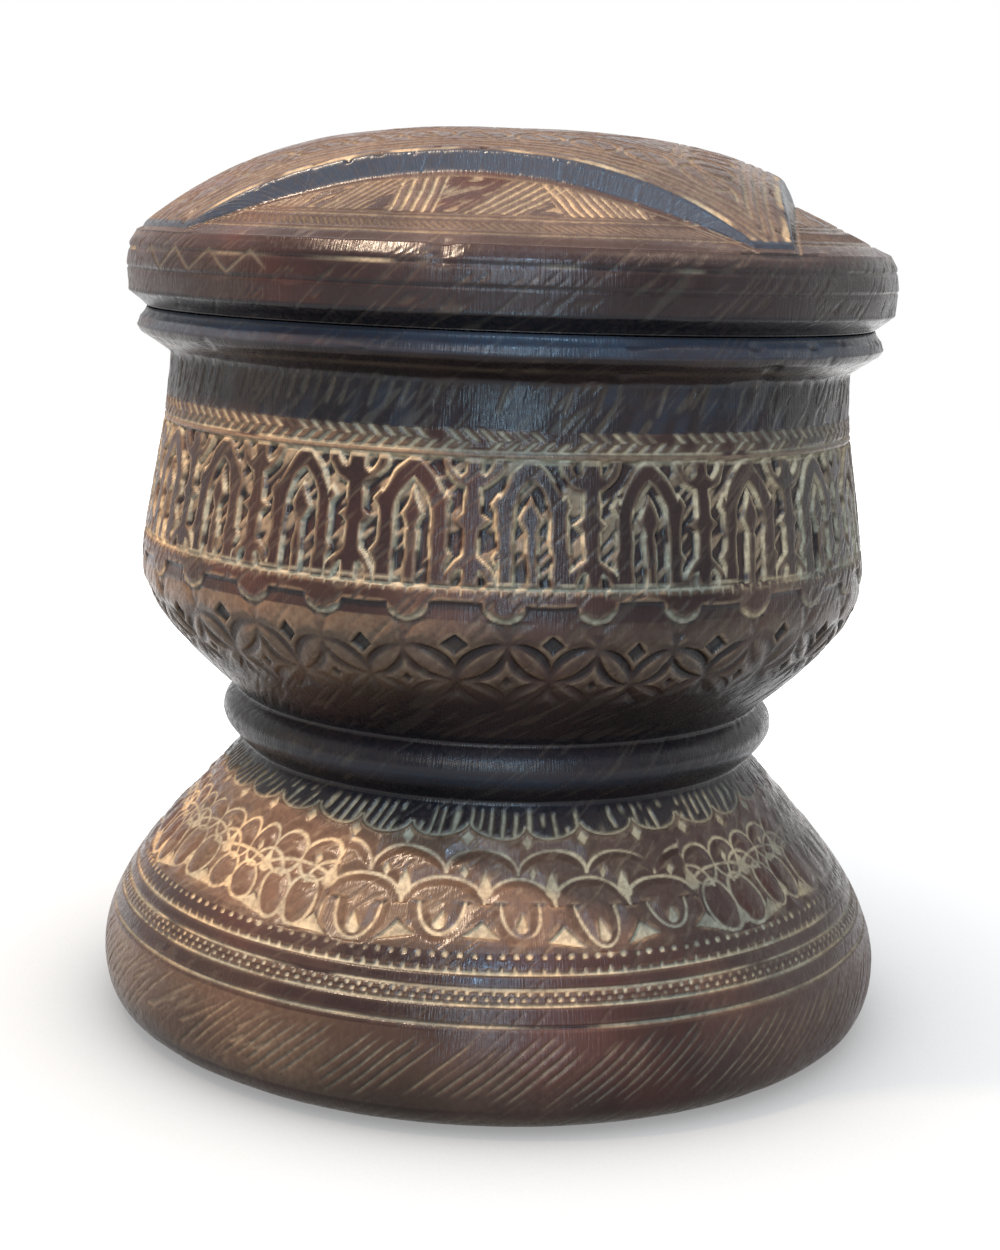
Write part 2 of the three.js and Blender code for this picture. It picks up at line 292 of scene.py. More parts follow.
def body_bowl():
    bore_end = RIM_TOP - MOUTH_DEPTH
    return path(
        (PARTING_RADIUS, RIM_TOP),
        [(MOUTH_RADIUS, RIM_TOP)],
        [(MOUTH_RADIUS, bore_end)],
        [
            (MOUTH_RADIUS, mix(bore_end, BELLY_LEVEL, 0.35)),
            (BOWL_RADIUS, mix(bore_end, BELLY_LEVEL, 0.65)),
            (BOWL_RADIUS, mix(bore_end, BELLY_LEVEL, 0.9)),
        ],
        [
            (BOWL_RADIUS, mix(BELLY_LEVEL, BOWL_FLOOR, 0.45)),
            (0.72 * BOWL_RADIUS, BOWL_FLOOR),
            (0.0, BOWL_FLOOR),
        ],
    )


def lid_under():
    """From the middle of the hollow's ceiling, down to the spigot and out to the seat's edge."""
    shoulder = LID_BASE + HOLLOW_SHOULDER
    foot = LID_BASE - SPIGOT_DEPTH
    return path(
        (0.0, HOLLOW_CEILING),
        [
            (0.6 * HOLLOW_RADIUS, HOLLOW_CEILING),
            (HOLLOW_RADIUS, mix(shoulder, HOLLOW_CEILING, 0.6)),
            (HOLLOW_RADIUS, shoulder),
        ],
        [(HOLLOW_RADIUS, foot)],
        [(SPIGOT_RADIUS, foot)],
        [(SPIGOT_RADIUS, LID_BASE)],
        [(PARTING_RADIUS, LID_BASE)],
    )


def lid_band():
    return path(
        (PARTING_RADIUS, LID_BASE),
        [(mix(RIDGE_RADIUS, LID_RADIUS, 0.8), BEVEL_TOP)],
        [(LID_RADIUS, mix(BEVEL_TOP, RIDGE_LEVEL, 0.45))],
        [(mix(RIDGE_RADIUS, LID_RADIUS, 0.7), mix(BEVEL_TOP, RIDGE_LEVEL, 0.8))],
        [(RIDGE_RADIUS, RIDGE_LEVEL)],
    )


def box_blur(values, reach):
    """Mean over a square of rows and columns, wrapping round the columns."""
    padded = np.pad(values, ((reach, reach), (0, 0)), mode="edge")
    summed = np.cumsum(np.vstack([np.zeros((1, values.shape[1])), padded]), axis=0)
    span = 2 * reach + 1
    down = (summed[span:] - summed[:-span]) / span
    wrapped = np.hstack([down[:, -reach:], down, down[:, :reach]])
    summed = np.cumsum(np.hstack([np.zeros((values.shape[0], 1)), wrapped]), axis=1)
    return (summed[:, span:] - summed[:, :-span]) / span


# dark is partly the wood's own black and partly painted shade; the last paint is a painted blue sheen, a
# reflection of cool light on smooth places
PAINTS = ("fill", "pale", "dark", "slate")  # shares of paint on each point, from 0 to 1


class Carving:
    """Rows of points round the axis, with what is carved and painted at each of them."""

    def __init__(self, rows):
        self.angle = (np.arange(COLUMNS) * TAU / COLUMNS - math.pi)[None, :]
        self.degrees = np.degrees(self.angle)
        self.depth = np.zeros((rows, COLUMNS))
        self.paints = {name: np.zeros((rows, COLUMNS)) for name in PAINTS}

    def around(self, count, seed, along=0.5):
        """Noise with a number of cells round the axis."""
        return noise(self.angle * count / TAU, along, count, seed)

    def paint(self, rows, mask, **shares):
        for name, share in shares.items():
            layer = self.paints[name]
            layer[rows] = np.maximum(layer[rows], share * mask)

    def cut(self, rows, mask, depth, **shares):
        self.depth[rows] = np.minimum(self.depth[rows], -depth * mask)
        self.paint(rows, mask, **shares)

    def sink(self, rows, mask, depth):
        self.depth[rows] -= depth * mask

    def masks(self, hidden=0.0):
        """Masks for the material; hollow is over 0 in cuts and under 0 on edges."""
        hollow = box_blur(self.depth, BLUR_REACH) - self.depth
        return self.paints | {"hollow": hollow, "hidden": np.full(self.depth.shape, hidden)}


class Side(Carving):
    """The carving on one turned surface, whose outline gives a radius and a level for each row."""

    def __init__(self, outline):
        super().__init__(len(outline))
        self.radius = outline[:, 0]
        self.level = outline[:, 1]
        steps = np.hypot(*np.diff(outline, axis=0).T)
        mean_radius = 0.5 * (self.radius[1:] + self.radius[:-1])
        self.travel = np.concatenate([[0.0], np.cumsum(steps)])
        self.climb = np.concatenate([[0.0], np.cumsum(steps / mean_radius)])

    def between(self, low, high):
        return np.flatnonzero((self.level >= low) & (self.level <= high))

    def height(self, rows, level):
        """Distance along the surface above a level, in millimetres, for each row."""
        return (self.travel[rows] - np.interp(level, self.level, self.travel))[:, None]

    def pitch(self, rows, count):
        """Width of one of a number of cells round each row."""
        return TAU * self.radius[rows][:, None] / count

    def count(self, rows, pitch):
        """How many cells of that width go round the middle of the rows."""
        return int(round(TAU * float(np.mean(self.radius[rows])) / pitch))

    def leaning(self, rows, count, slope, start=0.0):
        """Cells across that lean to the right by slope for each step up from the start."""
        return (self.angle - slope * (self.climb[rows] - start)[:, None]) * count / TAU

    def cells(self, rows, repeats, base, turn, warp, seed):
        """Cells across and up from a level, both the same size on the surface, and that size."""
        across = (self.angle - math.radians(turn)) * repeats / TAU
        climb_base = np.interp(base, self.level, self.climb)
        up = (self.climb[rows] - climb_base)[:, None] * repeats / TAU
        bend = noise(across, up * 1.3 + 7.0, repeats, seed)
        lift = noise(across + 0.5, up * 1.3 + 31.0, repeats, seed + 1)
        return across + warp * bend, up + warp * lift, self.pitch(rows, repeats)

    def slanted(self, rows, pitch, slope, length, seed):
        """Noise in streaks that lean to the right by slope for each step up."""
        count = self.count(rows, pitch)
        along = (self.travel[rows] / length)[:, None]
        return noise(self.leaning(rows, count, slope), along, count, seed)

    def points(self):
        return grid_points(self.radius[:, None], self.level[:, None], self.angle)


def ring_line(side, level, width=0.55, depth=0.35, fill=0.9, seed=3, gaps=0.25):
    """One line cut right round, a little wavy, and rubbed out here and there."""
    rows = side.between(level - 1.5, level + 1.5)
    wander = 0.16 * side.around(22, seed)
    rubbed = side.around(60, seed + 1)
    mask = stroke(side.height(rows, level) - wander, width)
    kept = smooth(-1.0 + gaps, -0.4 + gaps, rubbed)
    side.cut(rows, mask, depth)
    side.paint(rows, mask * kept, fill=fill)


def row_of_teeth(side, level, pitch, half_width, tall, seed, upward=1.0, fill=0.9):
    """Small triangular nicks that stand on a line, or hang from it."""
    rows = side.between(level - tall - 1.0, level + tall + 1.0)
    count = side.count(rows, pitch)
    across = side.angle * count / TAU
    size = side.pitch(rows, count)
    uneven = 0.25 * noise(np.round(across), 0.5, count, seed)
    x = (centred(across) + uneven * 0.5) * size
    y = upward * side.height(rows, level)
    reach = tall * (1.0 + 1.2 * uneven)
    distance = np.maximum(-y - 0.2, np.abs(x) - half_width * np.clip(1.0 - y / reach, 0.0, 1.0))
    distance = np.maximum(distance, y - reach)
    side.cut(rows, inside(distance, 0.3), 0.35, fill=fill)


def row_of_dots(side, level, pitch, radius, offset, seed):
    rows = side.between(level - 2.0, level + 2.0)
    count = side.count(rows, pitch)
    across = side.angle * count / TAU + offset
    size = side.pitch(rows, count)
    uneven = noise(np.round(across), 0.5, count, seed)
    x = (centred(across) + 0.12 * uneven) * size
    y = side.height(rows, level) - 0.15 * uneven
    distance = np.hypot(x, y) - radius * (1.0 + 0.25 * uneven)
    faded = smooth(-0.75, -0.35, side.around(30, seed + 1))
    side.cut(rows, inside(distance, 0.3) * mix(0.35, 1.0, faded), 0.35, fill=0.95)


def carve_scratched_foot(side):
    """Long slanted cuts round the foot's lowest part, with finer ones beside them on the left."""
    low, high = SCRATCH_BAND
    rows = side.between(low - 2.0, high)
    pitch = 2.7
    slope = 1.15
    count = int(round(TAU * FOOT_RADIUS / pitch))
    third = side.angle * count / TAU / 3.0
    wander = 0.16 * noise(third, side.travel[rows][:, None] / 9.0, count // 3, 11)
    across = side.leaning(rows, count, slope) + wander
    line = np.round(across)
    size = side.pitch(rows, count) * 0.65
    start = noise(line, 0.5, count, 12)
    ends = noise(line, 0.5, count, 13)
    level = side.level[rows][:, None]
    present = smooth(low + 2.8 * start, low + 2.5 + 2.8 * start, level)
    present *= 1.0 - smooth(high - 4.0 + 3.0 * ends, high - 1.0 + 2.0 * ends, level)
    present *= smooth(-0.7, 0.1, noise(line, 0.5, count, 14))
    mask = stroke(centred(across) * size, 0.3, 0.3) * present
    side.cut(rows, mask, 0.28, fill=0.42)
    ochre = window(side.degrees, (-80.0, -65.0), (-45.0, 20.0))
    patches = 0.6 + 0.4 * side.around(26, 16, side.travel[rows][:, None] / 7.0)
    side.paint(rows, ochre * patches, pale=0.5)
    # painted light: paler towards the floor, in place of light thrown up from the floor
    rim = side.between(0.0, 5.0)
    side.paint(rim, 1.0 - smooth(1.0, 5.0, side.level[rim])[:, None], pale=0.55)

    fine_rows = side.between(low + 4.0, high - 1.0)
    streaks = side.slanted(fine_rows, 1.1, 1.6, 3.0, 15)
    where = window(side.degrees, (-70.0, -60.0), (-32.0, -24.0))
    side.cut(fine_rows, smooth(0.3, 0.7, streaks) * where, 0.14, fill=0.2)


def carve_foot_rings(side):
    rows = side.between(PLAIN_RING - 0.5, ARCADE_BASE)
    side.paint(rows, 1.0, dark=0.3)
    ring_line(side, PLAIN_RING, width=0.5, seed=21, fill=0.75)
    ring_line(side, TICKED_RING, width=0.5, seed=23, fill=0.9)
    row_of_teeth(side, TICKED_RING, 2.7, 0.38, 0.65, 24, fill=0.9)
    row_of_dots(side, mix(TICKED_RING, DOTTED_RING, 0.38), 2.2, 0.34, 0.0, 25)
    row_of_dots(side, mix(TICKED_RING, DOTTED_RING, 0.76), 2.2, 0.34, 0.5, 27)
    ring_line(side, DOTTED_RING, width=0.45, seed=29, fill=0.9)
    ring_line(side, TOOTHED_RING, width=0.5, seed=31, gaps=0.1, fill=0.95)
    row_of_teeth(side, TOOTHED_RING, 2.5, 0.55, 1.15, 33, fill=1.0)
    row_of_dots(side, DOT_ROW, 2.5, 0.45, 0.0, 35)


def arcade_arches(x, half, up):
    """Crossing arches with an egg-shaped lobe below each crossing, in cells."""
    return (
        arch_distance(x, up - 0.88, 0.5, 0.37),
        arch_distance(half, up - 0.45, 0.5, 0.38),
        arch_distance(half, 0.47 - up, 0.27, 0.43),
    )


def arcade_flowers(x, half, up):
    """Four petals round a middle on each lobe's axis, under a wide arch, in cells."""
    return (
        ellipse_distance(np.abs(half) - 0.25, up - 0.90, 0.26, 0.31),
        ellipse_distance(np.abs(half) - 0.21, up - 0.34, 0.22, 0.31),
        arch_distance(x, up - 0.55, 0.32, 0.36),
        arch_distance(half, up - 0.62, 0.5, 0.2),
    )


def carve_foot_arcade(side):
    """Arches, petals and egg-shaped lobes that cross one another, with leaves and small peaks."""
    rows = side.between(ARCADE_BASE - 1.0, ARCADE_TOP + 1.0)
    across, up, size = side.cells(rows, REPEATS, ARCADE_BASE, ARCADE_TURN, warp=0.11, seed=41)
    x = centred(across)
    half = centred(across + 0.5)
    unit = np.round(across + 0.5)
    flowered = noise(unit, 0.5, REPEATS, 47) + np.abs(side.angle) > 0.75
    arches = np.min(np.abs(arcade_arches(x, half, up)), axis=0)
    flowers = np.min(np.abs(arcade_flowers(x, half, up)), axis=0)
    nearest = np.where(flowered, flowers, arches) * size
    side.sink(rows, 1.0 - smooth(0.0, 2.4, nearest), 0.5)
    leaf_turn = 0.25 * noise(unit, 1.5, REPEATS, 48)
    solid = (
        drop_distance(x, up - 0.55, 0.10, 0.36) * size,
        drop_distance(half + leaf_turn * (up - 0.2), up - 0.1, 0.07, 0.24) * size,
        np.maximum(lozenge_distance(x, up - 0.02, 0.22, 0.20), 0.02 - up) * size,
        lozenge_distance(centred(across + 0.27), up - 0.9, 0.05, 0.09) * size,
    )
    filled = np.min(solid, axis=0)
    uneven = noise(across * 3.0, up * 4.0, REPEATS * 3, 43)
    lines = stroke(nearest, 0.58 + 0.25 * uneven, 0.4) * smooth(-0.95, -0.5, uneven)
    side.cut(rows, np.maximum(lines, inside(filled)), 0.5, fill=0.95)
    vein = stroke(half * size, 0.35, 0.3) * inside(drop_distance(half, up - 0.12, 0.05, 0.2) * size, 0.3)
    peak = inside(lozenge_distance(x, up - 0.16, 0.09, 0.1) * size)
    side.paint(rows, np.maximum(peak, vein), dark=0.75)
    hatch = smooth(0.3, 0.7, side.slanted(rows, 1.1, 0.9, 3.5, 45))
    side.cut(rows, hatch, 0.16, fill=0.12)
    # painted light: the arcade's ground is paler on the left and front, where the warm key lamp falls
    painted_key_light = window(side.degrees, (-95.0, -60.0), (0.0, 40.0))
    patches = noise(across * 1.5, up * 2.0, REPEATS * 3 // 2, 49)
    side.paint(rows, painted_key_light * (0.7 + 0.3 * patches), pale=0.4)


def carve_foot_scallops(side):
    """Hanging scallops with lozenges between them, and the strokes above that reach the collar."""
    rows = side.between(SCALLOP_LINE - 3.0, SCALLOP_LINE + 4.5)
    across, up, size = side.cells(rows, SCALLOPS, SCALLOP_LINE, 1.0, warp=0.05, seed=51)
    x = centred(across)
    scallop = arch_distance(x, 0.27 - up, 0.47, 0.27) * size
    lozenge = lozenge_distance(centred(across + 0.5), up + 0.04, 0.10, 0.14) * size
    side.cut(rows, stroke(scallop, 0.5), 0.4, fill=0.7)
    side.cut(rows, inside(lozenge), 0.4, fill=0.85)

    rows = side.between(SCALLOP_LINE, STROKE_TOP + 0.6)
    above = smooth(-0.2, 0.3, -scallop_floor(side, rows))
    slope = 0.55 * (1.0 - smooth(-50.0, 10.0, side.degrees))
    across = side.leaning(rows, STROKES, slope, side.climb[rows][0])
    wander = 0.35 * noise(across / 2.0, side.travel[rows][:, None] / 4.0, STROKES // 2, 53)
    line = np.round(across + wander)
    size = side.pitch(rows, STROKES)
    present = smooth(-0.5, 0.0, noise(line, side.travel[rows][:, None] / 3.0, STROKES, 54))
    present = present * (1.0 - smooth(STROKE_TOP - 1.5, STROKE_TOP, side.level[rows]))[:, None]
    mask = stroke(centred(across + wander) * size, 0.75, 0.5) * present * above
    side.cut(rows, mask, 0.4, fill=0.68)
    # painted shade: the foot's top under the cup is painted near-black
    side.paint(rows, above, dark=0.9)


def scallop_floor(side, rows):
    """Signed distance, negative above the scallops' lower edge."""
    across, up, size = side.cells(rows, SCALLOPS, SCALLOP_LINE, 1.0, warp=0.05, seed=51)
    x = centred(across)
    edge = 0.27 * (1.0 - np.sqrt(np.clip(1.0 - (x / 0.5) ** 2, 0.0, 1.0)))
    return (edge - up) * size


def carve_cup_net(side):
    """Circles that cross one another below the tabs, with a deep pit in the middle of each upper one."""
    rows = side.between(NET_BASE, NET_TOP + 1.0)
    across, up, size = side.cells(rows, REPEATS, NET_CENTRE, TAB_TURN, warp=0.10, seed=61)
    fade = 1.0 - smooth(NET_TOP - 2.4, NET_TOP + 0.2, side.level[rows])[:, None]
    low_fade = smooth(-0.95, -0.55, up)
    mask = np.zeros(across.shape)
    nearest = np.full(across.shape, np.inf)
    for shift_x, shift_y, strength in ((0.5, 0.0, 0.8), (0.0, 0.5, 1.0), (0.5, 1.0, 0.45)):
        x = centred(across + shift_x)
        y = up + shift_y
        reach = np.hypot(x, y)
        swell = np.abs(2.0 * x * y) / np.maximum(reach**2, 1e-4)
        distance = np.abs(reach - 0.5) * size
        line = stroke(distance, 0.45 + 1.25 * swell, 0.6) * mix(0.45, 1.0, swell)
        mask = np.maximum(mask, strength * line)
        nearest = np.minimum(nearest, distance + 3.0 * (1.0 - strength))
    rubbed = smooth(-0.8, 0.1, side.around(16, 63, up * 0.9))
    in_net = smooth(0.46, 0.3, up) * low_fade
    side.depth[rows] -= 0.45 * (1.0 - smooth(0.0, 2.6, nearest)) * in_net
    mask = mask * fade * low_fade * mix(0.35, 1.0, rubbed)
    side.cut(rows, mask, 0.95, dark=0.75)
    pit = lozenge_distance(centred(across + 0.5), up, 0.12, 0.13) * size
    side.cut(rows, inside(pit, 0.6) * fade, 0.9, dark=0.95)
    low_pit = lozenge_distance(centred(across), up + 0.5, 0.06, 0.08) * size
    side.cut(rows, inside(low_pit, 0.6) * low_fade, 0.4, dark=0.6)
    # paler tan ground that varies at random, with painted warm light on the left side
    tan = side.around(9, 65, up * 0.8)
    left = 1.0 - smooth(-35.0, 15.0, side.degrees)
    side.paint(rows, np.clip(0.2 + 0.2 * tan + 0.6 * left, 0.0, 1.0) * (1.0 - mask) * in_net, pale=0.9)
    scraped = smooth(0.3, 0.7, side.slanted(rows, 1.3, 0.9, 6.0, 67))
    side.cut(rows, scraped, 0.12, fill=0.05)
    # painted shade: the lower circles fade to dark under the belly
    side.paint(rows, 1.0 - smooth(-0.9, -0.35, up), dark=0.75)


def carve_cup_tabs(side):
    """The plain fillet over the net: its lower edge steps down, with a round tab in each repeat."""
    rows = side.between(TAB_LEVEL - TAB_DROP - 8.0, FRIEZE_BASE)
    across, up, size = side.cells(rows, REPEATS, TAB_LEVEL, TAB_TURN, warp=0.06, seed=71)
    x = centred(across) * size
    y = up * size
    tab_radius = 3.9
    tab = np.hypot(x, (y - 0.4) * tab_radius / TAB_DROP) - tab_radius
    edge = np.minimum(-y, tab)
    below = 1.0 - inside(edge, 0.5)
    fade = smooth(-9.0, -1.0, y)
    side.sink(rows, below * fade, 0.55)
    on_tab = smooth(0.6, 1.8, -y)
    crescent = smooth(-1.5, -0.5, tab) * inside(tab, 0.4) * on_tab
    side.cut(rows, crescent, 0.35, fill=0.7)
    # painted shadow along the stepped edge of the fillet
    side.paint(rows, stroke(edge - 0.3, 0.9, 0.5) * (1.0 - on_tab), dark=0.6)
    hatch = smooth(0.1, 0.6, side.slanted(rows, 1.0, 0.8, 2.6, 73)) * (1.0 - below)
    side.cut(rows, hatch * (1.0 - crescent), 0.18, fill=0.10)
    # painted shade below the step
    side.paint(rows, below * smooth(-6.0, -3.0, y), dark=0.2)


def arch_shape(x, y):
    """A pointed arch on two posts: signed distance in millimetres."""
    bar = 0.5 * ARCH_BAR
    half = ARCH_HALF - bar
    rise = 0.5 * (FRIEZE_TOP - FRIEZE_BASE) - bar
    lean = 0.5 * (rise**2 - half**2) / half
    legs = np.abs(np.abs(x) - half) - bar
    bow = np.abs(np.hypot(np.abs(x) + lean, y) - (half + lean)) - bar
    return np.where(y > 0.0, bow, legs)


def arcade_shape(x, y, beside, edge):
    """The frieze's raised ornament, the same in each unit: signed distance in millimetres."""
    bud = lozenge_distance(x, y - 0.8, 1.9, 4.2)
    stem = np.maximum(np.abs(x) - 0.95, y + 2.0)
    post = beside - 0.5 * POST_WIDTH
    knots = lozenge_distance(beside, centred(y / 7.2) * 7.2, 3.0, 2.6)
    swag = np.abs(np.hypot(beside, edge - y) - 4.6) - 0.85
    base = np.abs(np.hypot(beside, edge + y) - 3.9) - 0.8
    drops = lozenge_distance(beside - 4.6, np.abs(y + 1.5) - 4.6, 1.0, 1.9)
    shapes = (arch_shape(x, y), bud, stem, post, knots, swag, base, drops)
    return np.minimum.reduce(shapes)


def carve_frieze(side):
    """A flat dark arcade left standing on a lowered, hatched ground, with thin cream edges."""
    rows = side.between(FRIEZE_BASE, FRIEZE_TOP)
    middle = mix(FRIEZE_BASE, FRIEZE_TOP, 0.5)
    across, up, size = side.cells(rows, FRIEZE_UNITS, middle, FRIEZE_TURN, warp=0.018, seed=81)
    x, y, unit = centred(across) * size, up * size, np.round(across)
    edge = 0.5 * (FRIEZE_TOP - FRIEZE_BASE) + 0.2
    width = side.pitch(rows, FRIEZE_UNITS)
    beside = 0.5 * width - np.abs(x)
    lean = 0.05 * noise(unit, 0.5, FRIEZE_UNITS, 82) * smooth(0.0, 3.0, beside)
    wobble = 0.35 * side.around(150, 83, y / 3.0)
    shape = arcade_shape(x + lean * y, y, beside, edge) + wobble
    rim = edge - np.abs(y)
    ground = smooth(-0.15, 0.45, shape)
    hatch = smooth(-0.1, 0.4, side.slanted(rows, 1.1, 0.95, 3.2, 85))
    worn_ground = 0.6 + 0.4 * side.around(40, 86, y / 6.0)
    side.sink(rows, ground, 0.85)
    side.depth[rows] += 0.3 * ground * hatch
    side.paint(rows, ground * hatch, pale=0.5)
    side.paint(rows, ground * hatch * worn_ground, fill=0.42)
    side.paint(rows, ground * (1.0 - hatch), dark=0.45)
    broken = smooth(-0.55, 0.1, side.around(110, 88, y / 2.0))
    side.paint(rows, stroke(shape - 0.1, 0.5, 0.3) * broken, fill=1.0)
    side.paint(rows, stroke(rim - 0.5, 0.6, 0.4) * broken, fill=0.7)
    top_hatch = smooth(0.35, 0.7, side.slanted(rows, 0.8, 1.0, 5.0, 87))
    side.depth[rows] -= 0.1 * (1.0 - ground) * top_hatch
    side.paint(rows, (1.0 - ground) * top_hatch, fill=0.08)
    side.paint(rows, 1.0 - ground, dark=0.42)


def carve_cup_borders(side):
    ring_line(side, FRIEZE_BASE - 0.2, width=0.6, seed=91, gaps=0.15)
    row_of_teeth(side, FRIEZE_BASE - 0.2, 2.3, 0.35, 1.3, 92, upward=-1.0, fill=0.7)
    ring_line(side, FRIEZE_TOP + 0.15, width=0.5, seed=94, gaps=0.4)
    ring_line(side, ROPE_BASE + 0.5, width=0.5, seed=96, gaps=0.3, fill=0.8)
    rows = side.between(ROPE_BASE, ROPE_TOP + 0.6)
    middle = mix(ROPE_BASE, ROPE_TOP, 0.55)
    y = side.height(rows, middle)
    for slope, seed, offset in ((1.1, 97, -0.85), (-1.1, 98, 0.95)):
        across = side.leaning(rows, STROKES, slope, side.climb[rows][0])
        line = np.round(across)
        size = side.pitch(rows, STROKES) * 0.7
        kept = smooth(-0.7, -0.2, noise(line, 0.5, STROKES, seed))
        reach = 0.85 + 0.25 * noise(line, 0.5, STROKES, seed + 10)
        mask = stroke(centred(across) * size, 0.75, 0.35) * kept * inside(np.abs(y - offset) - reach, 0.5)
        side.cut(rows, mask, 0.4, fill=0.75)
    side.paint(rows, 1.0, dark=0.35)


def carve_neck(side):
    """Short slanted cuts hanging below the bead, and broad tool facets."""
    rows = side.between(ROPE_TOP, NECK_TOP)
    streaks = side.slanted(rows, 2.3, 0.45, 7.0, 101)
    side.sink(rows, smooth(-0.6, 0.6, streaks), 0.22)
    fine = smooth(0.3, 0.7, side.slanted(rows, 1.0, 0.8, 4.0, 103))
    side.cut(rows, fine, 0.2, fill=0.09)
    # painted shade under the bead, over the wood's own dark tone, and a painted blue sheen in streaks
    side.paint(rows, 1.0, dark=0.84)
    side.paint(rows, smooth(-0.2, 0.6, streaks), slate=0.4)
    across = side.leaning(rows, STROKES, 0.35, side.climb[rows][-1])
    line = np.round(across)
    drop = -side.height(rows, NECK_TOP - 0.6)
    reach = 4.2 + 1.8 * noise(line, 0.5, STROKES, 105)
    hanging = stroke(centred(across) * TAU * NECK_RADIUS / STROKES, 0.8, 0.5)
    hanging = hanging * inside(np.abs(drop - 0.5 * reach) - 0.5 * reach, 1.0)
    side.cut(rows, hanging * smooth(-0.6, 0.2, noise(line, 0.5, STROKES, 106)), 0.3, fill=0.13)


def carve_bead(side):
    rows = side.between(NECK_TOP, RIM_TOP)
    dents = side.around(90, 111, side.travel[rows][:, None] / 2.4)
    side.sink(rows, smooth(0.45, 0.95, dents), 0.35)
    waves = side.around(36, 113, side.travel[rows][:, None] / 5.0)
    side.sink(rows, 0.5 + 0.5 * waves, 0.3)
    side.paint(rows, 1.0, dark=0.45)
    middle = mix(NECK_TOP, RIM_TOP, 0.58)
    y = side.height(rows, middle)
    rubbed = smooth(-0.6, 0.3, waves)
    # painted reflection: a blue sheen on the bead's upper face, in patches
    side.paint(rows, smooth(-0.9, 0.6, y) * mix(0.55, 1.0, rubbed), slate=0.95)
    # painted shade in the groove under the lid
    side.paint(rows, smooth(1.8, 3.2, y), dark=0.95)
    # painted highlight: a warm pale line on the bead's lower edge
    lower = side.between(NECK_TOP - 0.4, NECK_TOP + 2.6)
    lower_edge = stroke(side.height(lower, NECK_TOP + 1.9), 1.2, 0.9)
    side.paint(lower, lower_edge * mix(0.3, 1.0, rubbed[:1]), pale=0.85)


def age_surface(side):
    """Shallow waves from the hand tools, fine slanted marks, and dents all over."""
    everywhere = np.arange(len(side.level))
    travel = side.travel[:, None]
    waves = 0.5 + 0.5 * side.around(40, 121, travel / 11.0)
    ripples = 0.5 + 0.5 * side.around(130, 122, travel / 3.4)
    side.depth -= 0.22 * waves + 0.1 * ripples
    marks = smooth(0.45, 0.85, side.slanted(everywhere, 0.9, 1.0, 5.0, 123))
    side.depth -= 0.09 * marks
    side.paint(everywhere, marks, fill=0.06)


def darken_waist(side):
    rows = side.between(STROKE_TOP - 1.0, COLLAR_TOP + 1.5)
    # painted shade: the waist and collar under the cup are painted near-black
    side.paint(rows, 1.0, dark=1.0)
    collar = side.between(FOOT_HEIGHT + 0.6, COLLAR_TOP)
    side.paints["dark"][collar] *= 0.94
    rubbed = smooth(-0.3, 0.6, side.around(12, 131))
    bulge = side.height(collar, mix(FOOT_HEIGHT, COLLAR_TOP, 0.4))
    # painted reflection: a blue sheen on the collar's bulge, and a painted highlight along its lower side
    side.paint(collar, stroke(bulge, 3.0, 2.6) * mix(0.5, 1.0, rubbed), slate=0.6)
    side.paint(collar, stroke(bulge + 1.4, 1.2, 1.0) * rubbed, pale=0.5)


def rub_smooth(side):
    """Where hands have worn the foot's right side, the cuts and their filling are almost gone."""
    rows = side.between(ARCADE_BASE - 5.0, STROKE_TOP)
    worn = window(side.degrees, (58.0, 72.0), (104.0, 120.0))
    side.depth[rows] *= 1.0 - 0.6 * worn
    side.paints["fill"][rows] *= 1.0 - 0.85 * worn


def carve_body_side(side):
    carve_scratched_foot(side)
    carve_foot_rings(side)
    carve_foot_arcade(side)
    carve_foot_scallops(side)
    carve_cup_net(side)
    carve_cup_tabs(side)
    carve_frieze(side)
    carve_cup_borders(side)
    carve_neck(side)
    carve_bead(side)
    darken_waist(side)
    rub_smooth(side)
    age_surface(side)


def grid_points(radius, level, angle):
    """Points in millimetres for rows and columns; the front, angle 0, faces -Y."""
    return np.stack([radius * np.sin(angle), -radius * np.cos(angle), level + 0.0 * angle], axis=-1)


def grid_normals(points):
    along = np.roll(points, -1, axis=1) - np.roll(points, 1, axis=1)
    up = np.gradient(points, axis=0)
    normals = np.cross(along, up)
    return normals / np.maximum(np.linalg.norm(normals, axis=-1, keepdims=True), 1e-9)


def grid_faces(rows):
    """Quads between neighbouring rows and columns, then a fan at each end of the grid."""
    row = np.arange(rows - 1)[:, None] * COLUMNS
    column = np.arange(COLUMNS)[None, :]
    after = (column + 1) % COLUMNS
    quads = np.stack([row + column, row + after, row + COLUMNS + after, row + COLUMNS + column], axis=-1)
    first_pole = rows * COLUMNS
    last = (rows - 1) * COLUMNS
    ring, ring_after = column[0], after[0]
    poles = np.full(COLUMNS, first_pole)
    first_fan = np.stack([poles, ring_after, ring], axis=-1)
    last_fan = np.stack([poles + 1, last + ring, last + ring_after], axis=-1)
    return quads.reshape(-1, 4), first_fan, last_fan


def add_object(name, data):
    thing = bpy.data.objects.new(name, data)
    bpy.context.scene.collection.objects.link(thing)
    return thing


